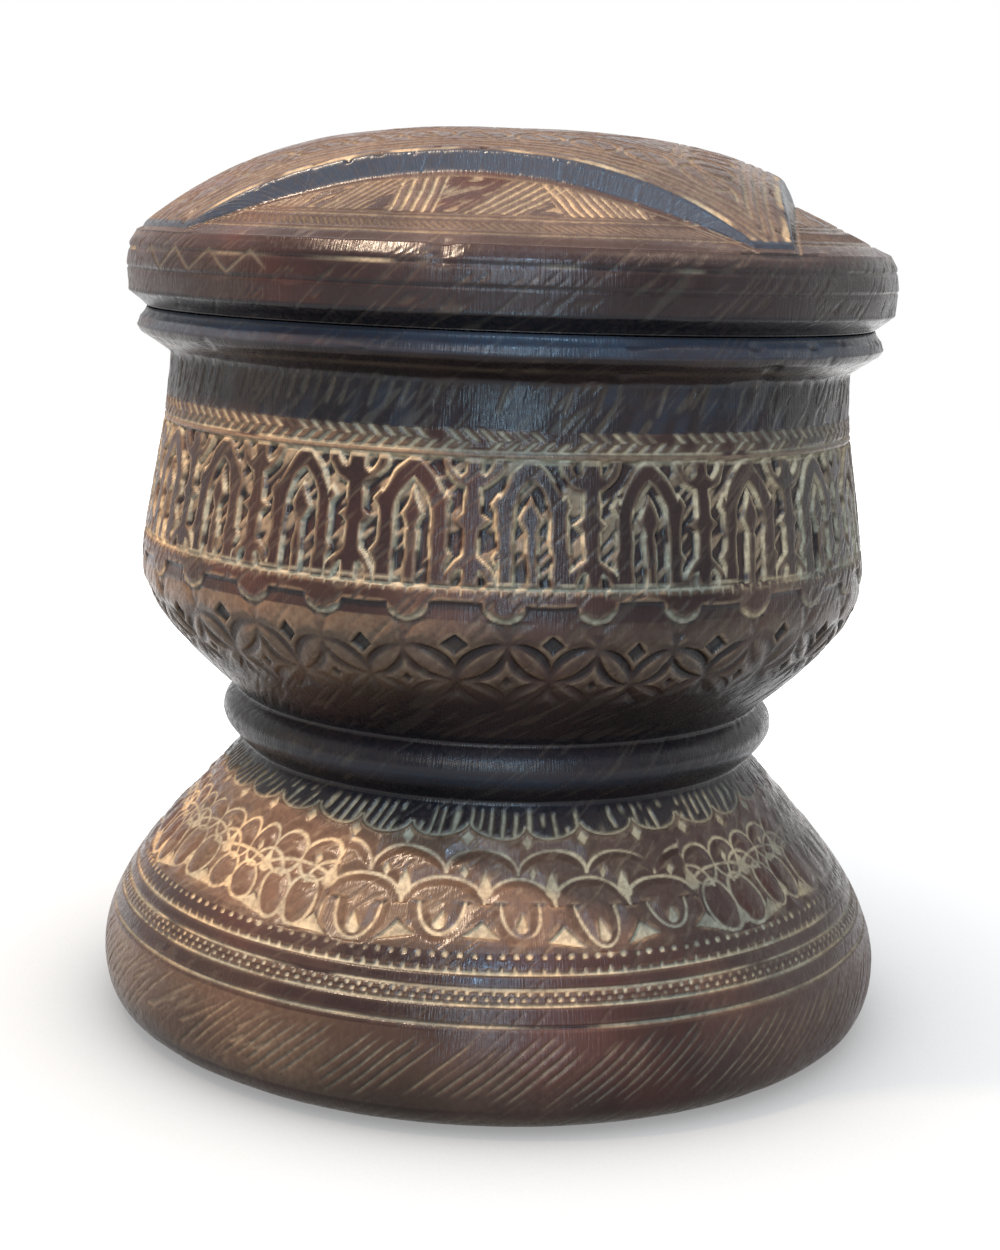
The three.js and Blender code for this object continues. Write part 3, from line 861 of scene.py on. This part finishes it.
def make_piece(name, points, poles, masks, unwrap):
    """One closed mesh from a grid of points and the two poles, in millimetres."""
    rows = points.shape[0]
    quads, first_fan, last_fan = grid_faces(rows)
    vertices = np.vstack([points.reshape(-1, 3), poles]) * MM
    corners = np.concatenate([quads.ravel(), first_fan.ravel(), last_fan.ravel()])
    sizes = np.concatenate([np.full(len(quads), 4), np.full(2 * COLUMNS, 3)])
    starts = np.concatenate([[0], np.cumsum(sizes)[:-1]])
    mesh = bpy.data.meshes.new(name)
    mesh.vertices.add(len(vertices))
    mesh.vertices.foreach_set("co", vertices.astype(np.float32).ravel())
    mesh.loops.add(len(corners))
    mesh.loops.foreach_set("vertex_index", corners.astype(np.int32))
    mesh.polygons.add(len(sizes))
    mesh.polygons.foreach_set("loop_start", starts.astype(np.int32))
    mesh.update(calc_edges=True)
    layer = mesh.uv_layers.new(name="OFBake")
    layer.data.foreach_set("uv", unwrap(rows).astype(np.float32).ravel())
    for mask_name, values in masks.items():
        layer = mesh.attributes.new(mask_name, "FLOAT", "POINT")
        layer.data.foreach_set("value", np.append(values, [0.0, 0.0]).astype(np.float32))
    mesh.shade_smooth()
    return add_object(name, mesh)


def corner_places(rows):
    """Row and column of every face corner; the columns run on past the seam."""
    row = np.arange(rows - 1)[:, None] + np.zeros((1, COLUMNS))
    column = np.zeros((rows - 1, 1)) + np.arange(COLUMNS)[None, :]
    quad_rows = np.stack([row, row, row + 1, row + 1], axis=-1).ravel()
    quad_columns = np.stack([column, column + 1, column + 1, column], axis=-1).ravel()
    ring = np.arange(COLUMNS)
    fan_rows = np.concatenate([np.tile([-1, 0, 0], COLUMNS), np.tile([rows, rows - 1, rows - 1], COLUMNS)])
    first_columns = np.stack([ring + 0.5, ring + 1, ring], axis=-1).ravel()
    last_columns = np.stack([ring + 0.5, ring, ring + 1], axis=-1).ravel()
    return np.concatenate([quad_rows, fan_rows]), np.concatenate([quad_columns, first_columns, last_columns])


def row_travel(points):
    """Distance along the first column's outline to each row, with a pole at both ends."""
    steps = np.linalg.norm(np.diff(points[:, 0], axis=0), axis=-1)
    return np.concatenate([[0.0], np.cumsum(steps)])


def strip_unwrap(travel, start_radius):
    """Unwrap round the axis: turns to the right, the outline upwards."""
    def unwrap(rows):
        row, column = corner_places(rows)
        lengths = np.concatenate([[-start_radius], travel, [travel[-1]]])
        length = np.interp(row, np.arange(-1, rows + 1), lengths)
        return np.column_stack([column / COLUMNS, (length + start_radius) / UV_SPAN])
    return unwrap


def stacked_masks(*parts):
    return {name: np.vstack([part[name] for part in parts]) for name in parts[0]}


def pushed(points, depth):
    """The points moved out along the surface's normals, in millimetres."""
    return points + grid_normals(points) * depth[..., None]


def build_body():
    under = Side(resample(body_under(), hidden_spacing)[1:-1])
    side = Side(resample(body_side(), side_spacing))
    bowl = Side(resample(body_bowl(), hidden_spacing)[1:-1])
    carve_body_side(side)
    fade = np.minimum(smooth(0.0, 3.0, side.travel), smooth(0.0, 1.0, side.travel[-1] - side.travel))
    gouged = 0.4 * (0.5 + 0.5 * bowl.around(24, 203, bowl.travel[:, None] / 9.0))
    gouged = gouged * smooth(0.0, 4.0, RIM_TOP - bowl.level)[:, None]
    points = np.vstack([
        under.points(),
        pushed(side.points(), side.depth * fade[:, None]),
        pushed(bowl.points(), -gouged),
    ])
    masks = stacked_masks(under.masks(hidden=1.0), side.masks(), bowl.masks(hidden=1.0))
    poles = [(0.0, 0.0, RECESS_DEPTH), (0.0, 0.0, BOWL_FLOOR)]
    unwrap = strip_unwrap(row_travel(points), under.radius[0])
    return make_piece("carved_body", points, poles, masks, unwrap)


def dome_height(radius):
    return RIDGE_LEVEL + DOME_RISE * (1.0 - (np.clip(radius, 0.0, None) / RIDGE_RADIUS) ** DOME_POWER)


def field_height(radius):
    return RIDGE_LEVEL + FIELD_SLOPE * (RIDGE_RADIUS - radius)


def side_reach(side, height):
    """How far out from the axis a side's plane lies at a height."""
    _, crown_half, field_half = side
    top = dome_height(crown_half)
    base = field_height(field_half)
    return mix(field_half, crown_half, (height - base) / (top - base))


def side_direction(side):
    return math.radians(side[0] + CROWN_TURN)


def crown_edges(angle):
    """Radius at which the ledge starts and ends in each column."""
    corner_margin = 1.3
    radius = np.arange(20.0, RIDGE_RADIUS - corner_margin, 0.02)[:, None]
    edges = []
    for surface in (dome_height, field_height):
        height = surface(radius)
        gap = np.full((len(radius), COLUMNS), np.inf)
        for side in CROWN_SIDES:
            outward = radius * np.cos(angle - side_direction(side))
            gap = np.minimum(gap, side_reach(side, height) - outward)
        within = gap > 0.0
        first_out = np.where(within.all(axis=0), len(radius) - 1, np.argmin(within, axis=0))
        edges.append(radius[first_out, 0])
    top = np.minimum(edges[0], RIDGE_RADIUS - corner_margin - 0.5)
    return top, np.maximum(edges[1], top + 0.25)


class LidTop(Carving):
    """The sloping fields, the ledge and the crown, from the ridge in to the axis."""

    def __init__(self):
        field_rows = int(round(FIELD_REACH / CARVED_STEP))
        crown_rows = int(round(CROWN_REACH / CROWN_STEP))
        super().__init__(field_rows + LEDGE_ROWS + crown_rows - 1)
        ledge_top, ledge_foot = crown_edges(self.angle)
        out = np.linspace(0.0, 1.0, field_rows + 1)[1:, None]
        field = mix(RIDGE_RADIUS, ledge_foot[None, :], out)
        down = np.linspace(0.0, 1.0, LEDGE_ROWS + 1)[1:, None]
        ledge = mix(ledge_foot[None, :], ledge_top[None, :], down)
        inwards = np.linspace(0.0, 1.0, crown_rows + 1)[1:-1, None] ** 0.92
        crown = mix(ledge_top[None, :], 0.0, inwards)
        self.radius = np.vstack([field, ledge, crown])
        ledge_level = mix(field_height(ledge_foot)[None, :], dome_height(ledge_top)[None, :], down)
        self.level = np.vstack([field_height(field), ledge_level, dome_height(crown)])
        self.field = slice(0, field_rows)
        self.ledge = slice(field_rows, field_rows + LEDGE_ROWS)
        self.crown = slice(field_rows + LEDGE_ROWS, len(self.radius))
        self.round_edges()
        self.x = self.radius * np.sin(self.angle)
        self.y = -self.radius * np.cos(self.angle)

    def round_edges(self):
        """Ease the ledge's two edges by averaging the rows near them."""
        near = slice(self.ledge.start - 3, self.ledge.stop + 3)
        for _ in range(3):
            for values in (self.radius, self.level):
                eased = 0.25 * values[:-2] + 0.5 * values[1:-1] + 0.25 * values[2:]
                values[near] = eased[near.start - 1 : near.stop - 1]

    def side_places(self, part):
        """For each point: distance past its own side, distance out towards it, and along it."""
        x, y, level = self.x[part], self.y[part], self.level[part]
        places = []
        for side in CROWN_SIDES:
            turn = side_direction(side)
            out = x * math.sin(turn) - y * math.cos(turn)
            along = x * math.cos(turn) + y * math.sin(turn)
            places.append((out - side_reach(side, level), out, along))
        places = np.array(places)
        own_side = np.argmax(places[:, 0], axis=0)
        return np.take_along_axis(places, own_side[None, None], axis=0)[0]


STROKE_GROUPS = (  # middle along the side, half length of the group, lean of its strokes
    (-37.0, 6.0, 0.5),
    (-21.5, 5.5, 0.75),
    (-7.5, 4.0, 0.0),
    (8.0, 5.5, 0.6),
    (28.0, 9.5, -0.7),
)


def carve_lid_fields(top):
    """Groups of strokes below the ledge, then lines and a rope row that follow the ridge."""
    part = top.field
    beyond, out, along = top.side_places(part)
    radius = top.radius[part]
    angle = top.angle
    line_radius = 65.2
    wander = 0.25 * top.around(30, 301)
    for at, width, fill in ((0.0, 0.5, 0.35), (-1.3, 0.4, 0.2), (5.3, 0.6, 0.3)):
        top.cut(part, stroke(radius - line_radius - at - wander, width), 0.3, fill=fill)
    count = 290
    rope_middle = line_radius + 2.7
    across = (angle - 0.9 * (radius - rope_middle) / rope_middle) * count / TAU
    rope = stroke(centred(across) * TAU * rope_middle / count, 0.6, 0.5)
    top.cut(part, rope * inside(np.abs(radius - rope_middle) - 1.4, 0.8), 0.35, fill=0.25)
    room = inside(radius - line_radius + 1.8, 0.6) * smooth(0.5, 1.2, beyond)
    pitch = 1.95
    shown = np.zeros(radius.shape)
    for middle, half, lean in STROKE_GROUPS:
        place = along - middle + lean * (out - 60.0)
        bow = place + 0.25 * noise(place / 3.0, out / 3.0, 64, 303)
        inside_group = inside(np.abs(place) - half, 0.4)
        strokes = stroke(centred(bow / pitch) * pitch, 0.7, 0.45)
        top.cut(part, strokes * inside_group * room, 0.45, fill=0.68)
        shown = np.maximum(shown, inside_group)
    scribble = noise(along / 1.1 + 0.8 * out, out / 1.6 + 11.0, 211, 305)
    leaves = smooth(0.15, 0.45, scribble) * (1.0 - shown) * room
    top.cut(part, leaves, 0.22, fill=0.35)
    top.cut(part, stroke(beyond - 0.9, 0.5), 0.25, fill=0.2)
    worn = 0.08 + 0.12 * noise(top.x[part] / 12.0 + 50.0, top.y[part] / 12.0 + 50.0, 97, 307)
    top.paint(part, worn, pale=1.0)


def carve_crown(top):
    """Lines inside the ledge, a border of leaves, and a rosette in the middle."""
    part = top.crown
    beyond, _, along = top.side_places(part)
    inset = -beyond
    wander = 0.3 * noise(along / 5.0, inset / 9.0 + 5.0, 73, 311)
    for at, width in ((3.0, 0.7), (4.5, 0.5), (6.2, 0.7), (16.5, 0.6), (18.0, 0.5)):
        top.cut(part, stroke(inset - at - wander, width), 0.35, fill=0.3)
    pitch = 10.0
    leaf_x = centred(along / pitch) * pitch
    leaf_y = inset - 11.3
    leaf = ellipse_distance(leaf_x, leaf_y, 4.3, 3.6)
    in_border = inside(np.abs(leaf_y) - 4.6, 0.6)
    top.cut(part, stroke(leaf, 0.7, 0.5) * in_border, 0.45, fill=0.4)
    vein = stroke(leaf_x + 0.7 * leaf_y, 0.6, 0.5) * inside(leaf + 0.8, 0.5)
    top.cut(part, vein * in_border, 0.35, fill=0.25)
    radius = top.radius[part]
    angle = top.angle
    petals = 12
    across = angle * petals / TAU
    petal_x = centred(across) * TAU * np.maximum(radius, 1.0) / petals
    for middle, half_width, half_height in ((20.0, 4.3, 8.0), (9.0, 1.9, 4.5)):
        petal = ellipse_distance(petal_x, radius - middle, half_width, half_height)
        top.cut(part, stroke(petal, 0.7, 0.5), 0.45, fill=0.4)
    for ring in (3.2, 14.0, 29.5, 31.2):
        inner = smooth(17.5, 19.0, inset)
        top.cut(part, stroke(radius - ring, 0.6) * inner, 0.35, fill=0.3)
    hatch = noise((top.x[part] + top.y[part]) / 0.8, (top.x[part] - top.y[part]) / 6.0, 211, 313)
    top.cut(part, smooth(0.45, 0.8, hatch), 0.14, fill=0.14)
    worn = 0.2 + 0.12 * noise(top.x[part] / 14.0 + 50.0, top.y[part] / 14.0 + 50.0, 97, 315)
    # a broken pale line along the crown's outer edge, partly wear of the rim and partly a painted highlight
    edge = stroke(inset - 0.7, 1.1, 0.8) * smooth(-0.5, 0.3, noise(along / 4.0 + 30.0, 0.5, 73, 317))
    top.paint(part, worn, pale=1.0)
    top.paint(part, edge, fill=0.75)


def age_lid_top(top):
    x, y = top.x, top.y
    waves = 0.5 + 0.5 * noise(x / 9.0 + 40.0, y / 9.0 + 40.0, 97, 321)
    ripples = 0.5 + 0.5 * noise(x / 2.6 + 80.0, y / 2.6 + 80.0, 97, 322)
    top.depth -= 0.22 * waves + 0.1 * ripples
    marks = smooth(0.5, 0.85, noise((x - 0.8 * y) / 0.8, (x + y) / 7.0, 211, 323))
    top.depth -= 0.08 * marks
    top.paint(slice(None), marks, fill=0.08)
    chips = smooth(0.6, 0.9, noise(x / 2.0 + 200.0, y / 2.0 + 120.0, 211, 325))
    near_edge = slice(top.crown.start - 2, top.crown.start + 5)
    top.depth[near_edge] -= 0.5 * chips[near_edge]
    # the ledge is painted dark with a painted blue sheen, a reflection of cool light
    for name, share in zip(PAINTS, (0.0, 0.0, 0.7, 0.75)):
        top.paints[name][top.ledge] = share


def carve_lid_band(side):
    """Short broken lines, zigzag nicks, dents and fine slanted scratches on the band."""
    for level, width, gaps, fill, seed in ((151.6, 0.5, 1.1, 0.8, 401), (147.8, 0.4, 1.35, 0.5, 403)):
        ring_line(side, level, width=width, seed=seed, gaps=gaps, fill=fill, depth=0.25)
    rows = side.between(BEVEL_TOP + 0.8, RIDGE_LEVEL - 1.2)
    scratches = smooth(0.5, 0.8, side.slanted(rows, 0.8, 1.1, 3.4, 407))
    side.cut(rows, scratches, 0.15, fill=0.05)
    rows = side.between(BEVEL_TOP, RIDGE_LEVEL)
    travel = side.travel[rows][:, None]
    side.sink(rows, smooth(0.5, 0.95, side.around(60, 411, travel / 3.2)), 0.2)
    side.sink(rows, 0.5 + 0.5 * side.around(26, 412, travel / 7.0), 0.35)
    zigzag_rows = side.between(147.6, 153.0)
    zigzag = np.abs(centred(side.angle * 44 / TAU)) * 8.0 - side.height(zigzag_rows, 148.4)
    shown = window(side.degrees, (-64.0, -61.0), (-36.0, -33.0))
    shown = np.maximum(shown, smooth(0.45, 0.6, side.around(15, 413)))
    side.cut(zigzag_rows, stroke(zigzag, 0.6, 0.4) * shown, 0.4, fill=0.3)
    side.paint(side.between(LID_BASE, RIDGE_LEVEL - 1.0), 1.0, dark=0.34)
    # painted highlight: a broken pale line along the ridge
    glint = smooth(-0.1, 0.5, side.around(18, 415))
    ridge = side.between(RIDGE_LEVEL - 2.4, RIDGE_LEVEL)
    side.paint(ridge, stroke(side.height(ridge, RIDGE_LEVEL - 0.8), 1.1, 0.8) * glint, pale=0.9)
    # painted shade on the bevel under the band
    side.paint(side.between(LID_BASE, BEVEL_TOP + 0.6), 1.0, dark=0.95)
    notch = np.exp(-(((side.degrees + 9.0) / 1.4) ** 2))
    rows = side.between(RIDGE_LEVEL - 5.0, RIDGE_LEVEL)
    rise = smooth(RIDGE_LEVEL - 5.0, RIDGE_LEVEL - 1.0, side.level[rows])[:, None]
    side.sink(rows, notch * rise, 0.8)


def lid_unwrap(under_travel, band_travel, top_travel):
    """Discs for the underside and the top, and a strip for the band."""
    under_rows, band_rows = len(under_travel), len(band_travel)
    strip_tall = 24.0
    under_centre = (0.28, 0.30)
    top_centre = (0.76, 0.28)

    def disc(centre, reach, column):
        turn = column * TAU / COLUMNS
        return np.column_stack([centre[0] + reach * np.sin(turn), centre[1] - reach * np.cos(turn)])

    def unwrap(rows):
        row, column = corner_places(rows)
        travel = np.concatenate([[0.0], under_travel, band_travel, top_travel, [0.0]])
        reach = np.interp(row, np.arange(-1, rows + 1), travel) / UV_SPAN
        uv = disc(under_centre, reach, column)
        quad_row = row.copy()
        quads = (rows - 1) * COLUMNS * 4
        quad_row[:quads] = np.repeat(row[:quads:4], 4)
        quad_row[quads : quads + 3 * COLUMNS] = -1
        quad_row[quads + 3 * COLUMNS :] = rows
        on_band = (quad_row >= under_rows) & (quad_row < under_rows + band_rows - 1)
        strip = np.column_stack([column / COLUMNS, 1.0 - strip_tall / UV_SPAN + reach])
        on_top = quad_row >= under_rows + band_rows - 1
        uv = np.where(on_band[:, None], strip, uv)
        ridge_reach = top_travel[0] / UV_SPAN
        ridge = (row == under_rows + band_rows - 1) & on_top
        top_reach = np.where(ridge, ridge_reach + 0.35 / UV_SPAN, reach)
        return np.where(on_top[:, None], disc(top_centre, top_reach, column), uv)

    return unwrap


def build_lid():
    under = Side(resample(lid_under(), hidden_spacing)[1:])
    band = Side(resample(lid_band(), lambda levels: np.full(levels.shape, 1.1 * CARVED_STEP)))
    carve_lid_band(band)
    age_surface(band)
    top = LidTop()
    carve_lid_fields(top)
    carve_crown(top)
    age_lid_top(top)
    under_points = under.points()
    band_points = pushed(band.points(), band.depth * smooth(0.0, 1.5, band.travel)[:, None])
    inwards = np.linspace(0.0, 1.0, len(top.radius))[:, None]
    top_depth = mix(band.depth[-1:], top.depth, smooth(0.0, 0.03, inwards))
    top_points = pushed(grid_points(top.radius, top.level, top.angle), top_depth)
    points = np.vstack([under_points, band_points, top_points])
    masks = stacked_masks(under.masks(hidden=1.0), band.masks(), top.masks())
    poles = [(0.0, 0.0, HOLLOW_CEILING), (0.0, 0.0, float(np.mean(top_points[-1, :, 2])))]
    steps = np.linalg.norm(np.diff(top_points[:, 0], axis=0), axis=-1)
    from_pole = np.concatenate([np.cumsum(steps[::-1])[::-1], [0.0]]) + top.radius[-1, 0]
    unwrap = lid_unwrap(row_travel(under_points) + under.radius[0], band.travel, from_pole)
    return make_piece("carved_lid", points, poles, masks, unwrap)


class Nodes:
    """A short way to write a material's nodes."""

    def __init__(self, material):
        material.use_nodes = True
        self.tree = material.node_tree
        self.tree.nodes.clear()

    def add(self, kind, settings=(), *values, **inputs):
        """A node with its settings, fed in order or by the sockets' names."""
        node = self.tree.nodes.new(kind)
        for key, value in dict(settings).items():
            setattr(node, key, value)
        for socket, value in zip(node.inputs, values):
            self.feed(socket, value)
        for key, value in inputs.items():
            self.feed(node.inputs[key.replace("_", " ")], value)
        return node

    def feed(self, socket, value):
        if hasattr(value, "is_output"):
            self.tree.links.new(value, socket)
        else:
            socket.default_value = value

    def attribute(self, name):
        return self.add("ShaderNodeAttribute", {"attribute_name": name}).outputs["Fac"]

    def maths(self, operation, a, b, clamp=False):
        return self.add("ShaderNodeMath", {"operation": operation, "use_clamp": clamp}, a, b).outputs[0]

    def plus(self, a, b, clamp=False):
        return self.maths("ADD", a, b, clamp)

    def times(self, a, b, clamp=False):
        return self.maths("MULTIPLY", a, b, clamp)

    def between(self, value, low, high, new_low=0.0, new_high=1.0):
        """A smooth step from one number to another as the value goes from low to high."""
        settings = {"interpolation_type": "SMOOTHSTEP"}
        return self.add("ShaderNodeMapRange", settings, value, low, high, new_low, new_high).outputs[0]

    def blend(self, share, a, b):
        node = self.add("ShaderNodeMix", {"data_type": "RGBA"}, share)
        self.feed(node.inputs[6], a)
        self.feed(node.inputs[7], b)
        return node.outputs[2]

    def grain(self, vector, scale, detail=3.0, stretch=(1.0, 1.0, 1.0), turn=0.0):
        mapping = self.add("ShaderNodeMapping", Vector=vector, Scale=stretch, Rotation=(0.0, 0.0, turn))
        texture = self.add("ShaderNodeTexNoise", Vector=mapping.outputs[0], Scale=scale, Detail=detail)
        return texture.outputs["Fac"]


# Colours, linear
DARK_WOOD = (0.028, 0.013, 0.011, 1.0)
BROWN_WOOD = (0.090, 0.045, 0.034, 1.0)
RED_WOOD = (0.085, 0.027, 0.020, 1.0)
TAN_WOOD = (0.270, 0.165, 0.098, 1.0)
LID_WOOD = (0.058, 0.036, 0.033, 1.0)
LID_TAN = (0.176, 0.118, 0.090, 1.0)
# near-black: the wood's own black where it is dark, and painted shade in cuts and under overhangs
BLACK_AND_SHADE = (0.007, 0.008, 0.011, 1.0)
SHEEN_BLUE = (0.040, 0.052, 0.072, 1.0)  # painted blue-grey sheen: a reflection of cool light painted on smooth, dark places
FILLING = (0.660, 0.465, 0.275, 1.0)
FILLING_GREY = (0.400, 0.345, 0.245, 1.0)

GLOSS = 0.18
BUMP_STRENGTH = 0.55
BUMP_HEIGHT = 0.00022  # metres


def wood_material(name, base_shift, brown=BROWN_WOOD, tan=TAN_WOOD):
    material = bpy.data.materials.new(name)
    nodes = Nodes(material)
    place = nodes.add("ShaderNodeTexCoord").outputs["Object"]
    unwrap = nodes.add("ShaderNodeUVMap", {"uv_map": "OFBake"}).outputs["UV"]
    fill, pale, dark, slate = [nodes.attribute(name) for name in PAINTS]
    hollow, hidden = nodes.attribute("hollow"), nodes.attribute("hidden")

    patches = nodes.grain(place, 22.0, 4.0)
    streaks = nodes.grain(place, 60.0, 5.0, (1.0, 1.0, 0.12))
    specks = nodes.grain(place, 900.0, 2.0)
    tone = nodes.plus(nodes.between(patches, 0.35, 0.7), nodes.between(streaks, 0.4, 0.7, -0.25, 0.35))
    tone = nodes.plus(tone, base_shift, clamp=True)
    wood = nodes.blend(tone, DARK_WOOD, brown)
    sheen_patches = nodes.between(patches, 0.3, 0.6, 0.55, 1.0)
    layers = (
        (nodes.between(nodes.grain(place, 35.0), 0.52, 0.72, 0.0, 0.6), RED_WOOD),
        (pale, tan),
        (nodes.between(hollow, -0.04, -0.2, 0.0, 0.7), tan),  # edges rubbed pale
        # dark paint: partly black wood, partly painted shade
        (nodes.times(dark, 0.92), BLACK_AND_SHADE),
        # painted blue sheen: a reflection of cool light, in patches
        (nodes.times(slate, sheen_patches), SHEEN_BLUE),
        (nodes.between(hollow, 0.06, 0.3, 0.0, 0.85), BLACK_AND_SHADE),  # painted shade in the cuts
    )
    for share, colour in layers:
        wood = nodes.blend(share, wood, colour)
    patchy = nodes.between(nodes.grain(place, 160.0), 0.3, 0.62, 0.65, 1.0)
    paste = nodes.blend(nodes.between(nodes.grain(place, 45.0, 2.0), 0.35, 0.65), FILLING_GREY, FILLING)
    colour = nodes.blend(nodes.times(fill, patchy, clamp=True), wood, paste)
    colour = nodes.blend(nodes.between(specks, 0.35, 0.7, 0.0, 0.35), colour, DARK_WOOD)

    rough = nodes.plus(nodes.between(patches, 0.3, 0.7, 0.20, 0.34), nodes.times(fill, 0.3))
    rough = nodes.plus(rough, nodes.times(hidden, 0.25))
    rough = nodes.plus(rough, nodes.between(specks, 0.3, 0.7, -0.05, 0.1), clamp=True)

    fine = nodes.grain(unwrap, 1.0, 2.0, (UV_SPAN * 2.4, UV_SPAN * 0.16, 1.0), math.radians(-38.0))
    pores = nodes.grain(place, 1500.0, 2.0, (1.0, 1.0, 0.25))
    relief = nodes.plus(nodes.times(fine, 0.7), nodes.times(pores, 0.3))
    bump = nodes.add("ShaderNodeBump", Height=relief, Strength=BUMP_STRENGTH, Distance=BUMP_HEIGHT)
    finish = {"Base_Color": colour, "Roughness": rough, "Normal": bump.outputs[0]}
    shader = nodes.add("ShaderNodeBsdfPrincipled", **finish)
    shader.inputs["Specular IOR Level"].default_value = GLOSS
    nodes.add("ShaderNodeOutputMaterial", Surface=shader.outputs[0])
    return material


def background_rays(nodes):
    """1 for the rays that show the background: straight from the camera, mirrored or let through."""
    path = nodes.add("ShaderNodeLightPath")
    seen = nodes.maths("MAXIMUM", path.outputs["Is Camera Ray"], path.outputs["Is Glossy Ray"])
    return nodes.maths("MAXIMUM", seen, path.outputs["Is Transmission Ray"])


def floor_material():
    """A pale floor that looks white to the camera and still shows the vessel's shadow."""
    material = bpy.data.materials.new("floor_white")
    nodes = Nodes(material)
    place = nodes.add("ShaderNodeTexCoord").outputs["Object"]
    away = nodes.add("ShaderNodeVectorMath", {"operation": "LENGTH"}, Vector=place).outputs["Value"]
    open_sky = nodes.add("ShaderNodeAmbientOcclusion", {"samples": 6}, Distance=SHADOW_REACH).outputs["AO"]
    contact = nodes.maths("POWER", open_sky, SHADOW_POWER)
    lit = nodes.times(nodes.between(away, *FLOOR_FADE, 1.0, 0.0), contact)
    grey = nodes.blend(lit, (0.0, 0.0, 0.0, 1.0), FLOOR_GREY)
    cast = nodes.add("ShaderNodeBsdfDiffuse", Color=grey)
    shaded = nodes.plus(FLOOR_LEAST, nodes.times(contact, FLOOR_LIFT))
    strength = nodes.plus(shaded, nodes.between(away, *FLOOR_FADE))
    lift = nodes.times(background_rays(nodes), strength)
    glow = nodes.add("ShaderNodeEmission", Color=(1.0, 1.0, 1.0, 1.0), Strength=lift)
    both = nodes.add("ShaderNodeAddShader", (), cast.outputs[0], glow.outputs[0])
    nodes.add("ShaderNodeOutputMaterial", Surface=both.outputs[0])
    return material


def add_floor():
    """A round floor whose middle shows the shadow; beyond its edge the white world goes on."""
    reach = 1.4
    corners = 96
    mesh = bpy.data.meshes.new("floor")
    angles = [TAU * corner / corners for corner in range(corners)]
    places = [(reach * math.cos(angle), reach * math.sin(angle), 0.0) for angle in angles]
    mesh.from_pydata(places, [], [tuple(range(corners))])
    mesh.materials.append(floor_material())
    floor = add_object("floor", mesh)
    floor.location.z = FLOOR_LEVEL


def add_world():
    world = bpy.data.worlds.new("studio")
    bpy.context.scene.world = world
    nodes = Nodes(world)
    glow = nodes.add("ShaderNodeBackground", Color=(0.80, 0.88, 1.0, 1.0), Strength=AMBIENT)
    white = nodes.add("ShaderNodeBackground", Color=(1.0, 1.0, 1.0, 1.0), Strength=1.0)
    shown = glow.outputs[0], white.outputs[0]
    choice = nodes.add("ShaderNodeMixShader", (), background_rays(nodes), *shown)
    nodes.add("ShaderNodeOutputWorld", Surface=choice.outputs[0])


LAMP_AIM = (0.0, 0.0, 0.09)
LAMPS = (  # name, place in metres, width and height, power in watts, colour
    ("key_warm", (-0.305, -0.176, 0.71), (0.05, 0.05), 9.2, (1.0, 0.78, 0.58)),
    ("right_warm", (0.37, -0.22, 0.70), (0.12, 0.12), 0.5, (1.0, 0.86, 0.74)),
    ("top_cool", (0.05, -0.20, 0.92), (0.25, 0.25), 0.5, (0.62, 0.82, 1.0)),
    ("front_soft", (-0.10, -0.69, 0.49), (0.20, 0.20), 1.4, (1.0, 0.88, 0.78)),
    ("front_cool", (0.04, -0.90, 0.32), (0.08, 0.60), 4.8, (0.50, 0.78, 1.0)),
    ("blue_glint", (0.054, -0.586, 0.643), (0.05, 0.05), 2.4, (0.40, 0.68, 1.0)),
    ("left_ochre", (-0.75, -0.05, 0.20), (0.12, 0.5), 0.45, (1.0, 0.70, 0.40)),
    ("right_grey", (0.75, 0.10, 0.30), (0.12, 0.4), 0.4, (0.95, 1.0, 0.95)),
)


def add_lamps():
    for name, place, size, power, colour in LAMPS:
        lamp = bpy.data.lights.new(name, "AREA")
        lamp.shape = "RECTANGLE"
        lamp.size, lamp.size_y = size
        lamp.energy = power
        lamp.color = colour
        light = add_object(name, lamp)
        light.location = place
        light.rotation_euler = (Vector(LAMP_AIM) - Vector(place)).to_track_quat("-Z", "Y").to_euler()


CAMERA_HEIGHT = 0.1572
CAMERA_DISTANCE = 0.4243
CAMERA_PITCH = 0.1862  # radians down from level
CAMERA_ROLL = 0.036  # radians
FOCAL_PIXELS = 2096.65
PHOTO_HEIGHT = 1250
SENSOR = 36.0


def add_camera():
    data = bpy.data.cameras.new("camera")
    data.sensor_width = SENSOR
    data.lens = FOCAL_PIXELS / PHOTO_HEIGHT * SENSOR
    data.clip_start = 0.02
    camera = add_object("camera", data)
    tilt = Matrix.Rotation(math.pi / 2 - CAMERA_PITCH, 4, "X") @ Matrix.Rotation(CAMERA_ROLL, 4, "Z")
    camera.matrix_world = Matrix.Translation((0.0, -CAMERA_DISTANCE, CAMERA_HEIGHT)) @ tilt
    bpy.context.scene.camera = camera


body = build_body()
body.data.materials.append(wood_material("body_wood_look", 0.0))
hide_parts("body")
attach(body, "vessel")

lid = build_lid()
lid.data.materials.append(wood_material("lid_wood_look", 0.06, LID_WOOD, LID_TAN))
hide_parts("lid")
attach(lid, "lid")

add_floor()
add_world()
add_lamps()
add_camera()
bpy.context.scene.view_settings.view_transform = "Standard"
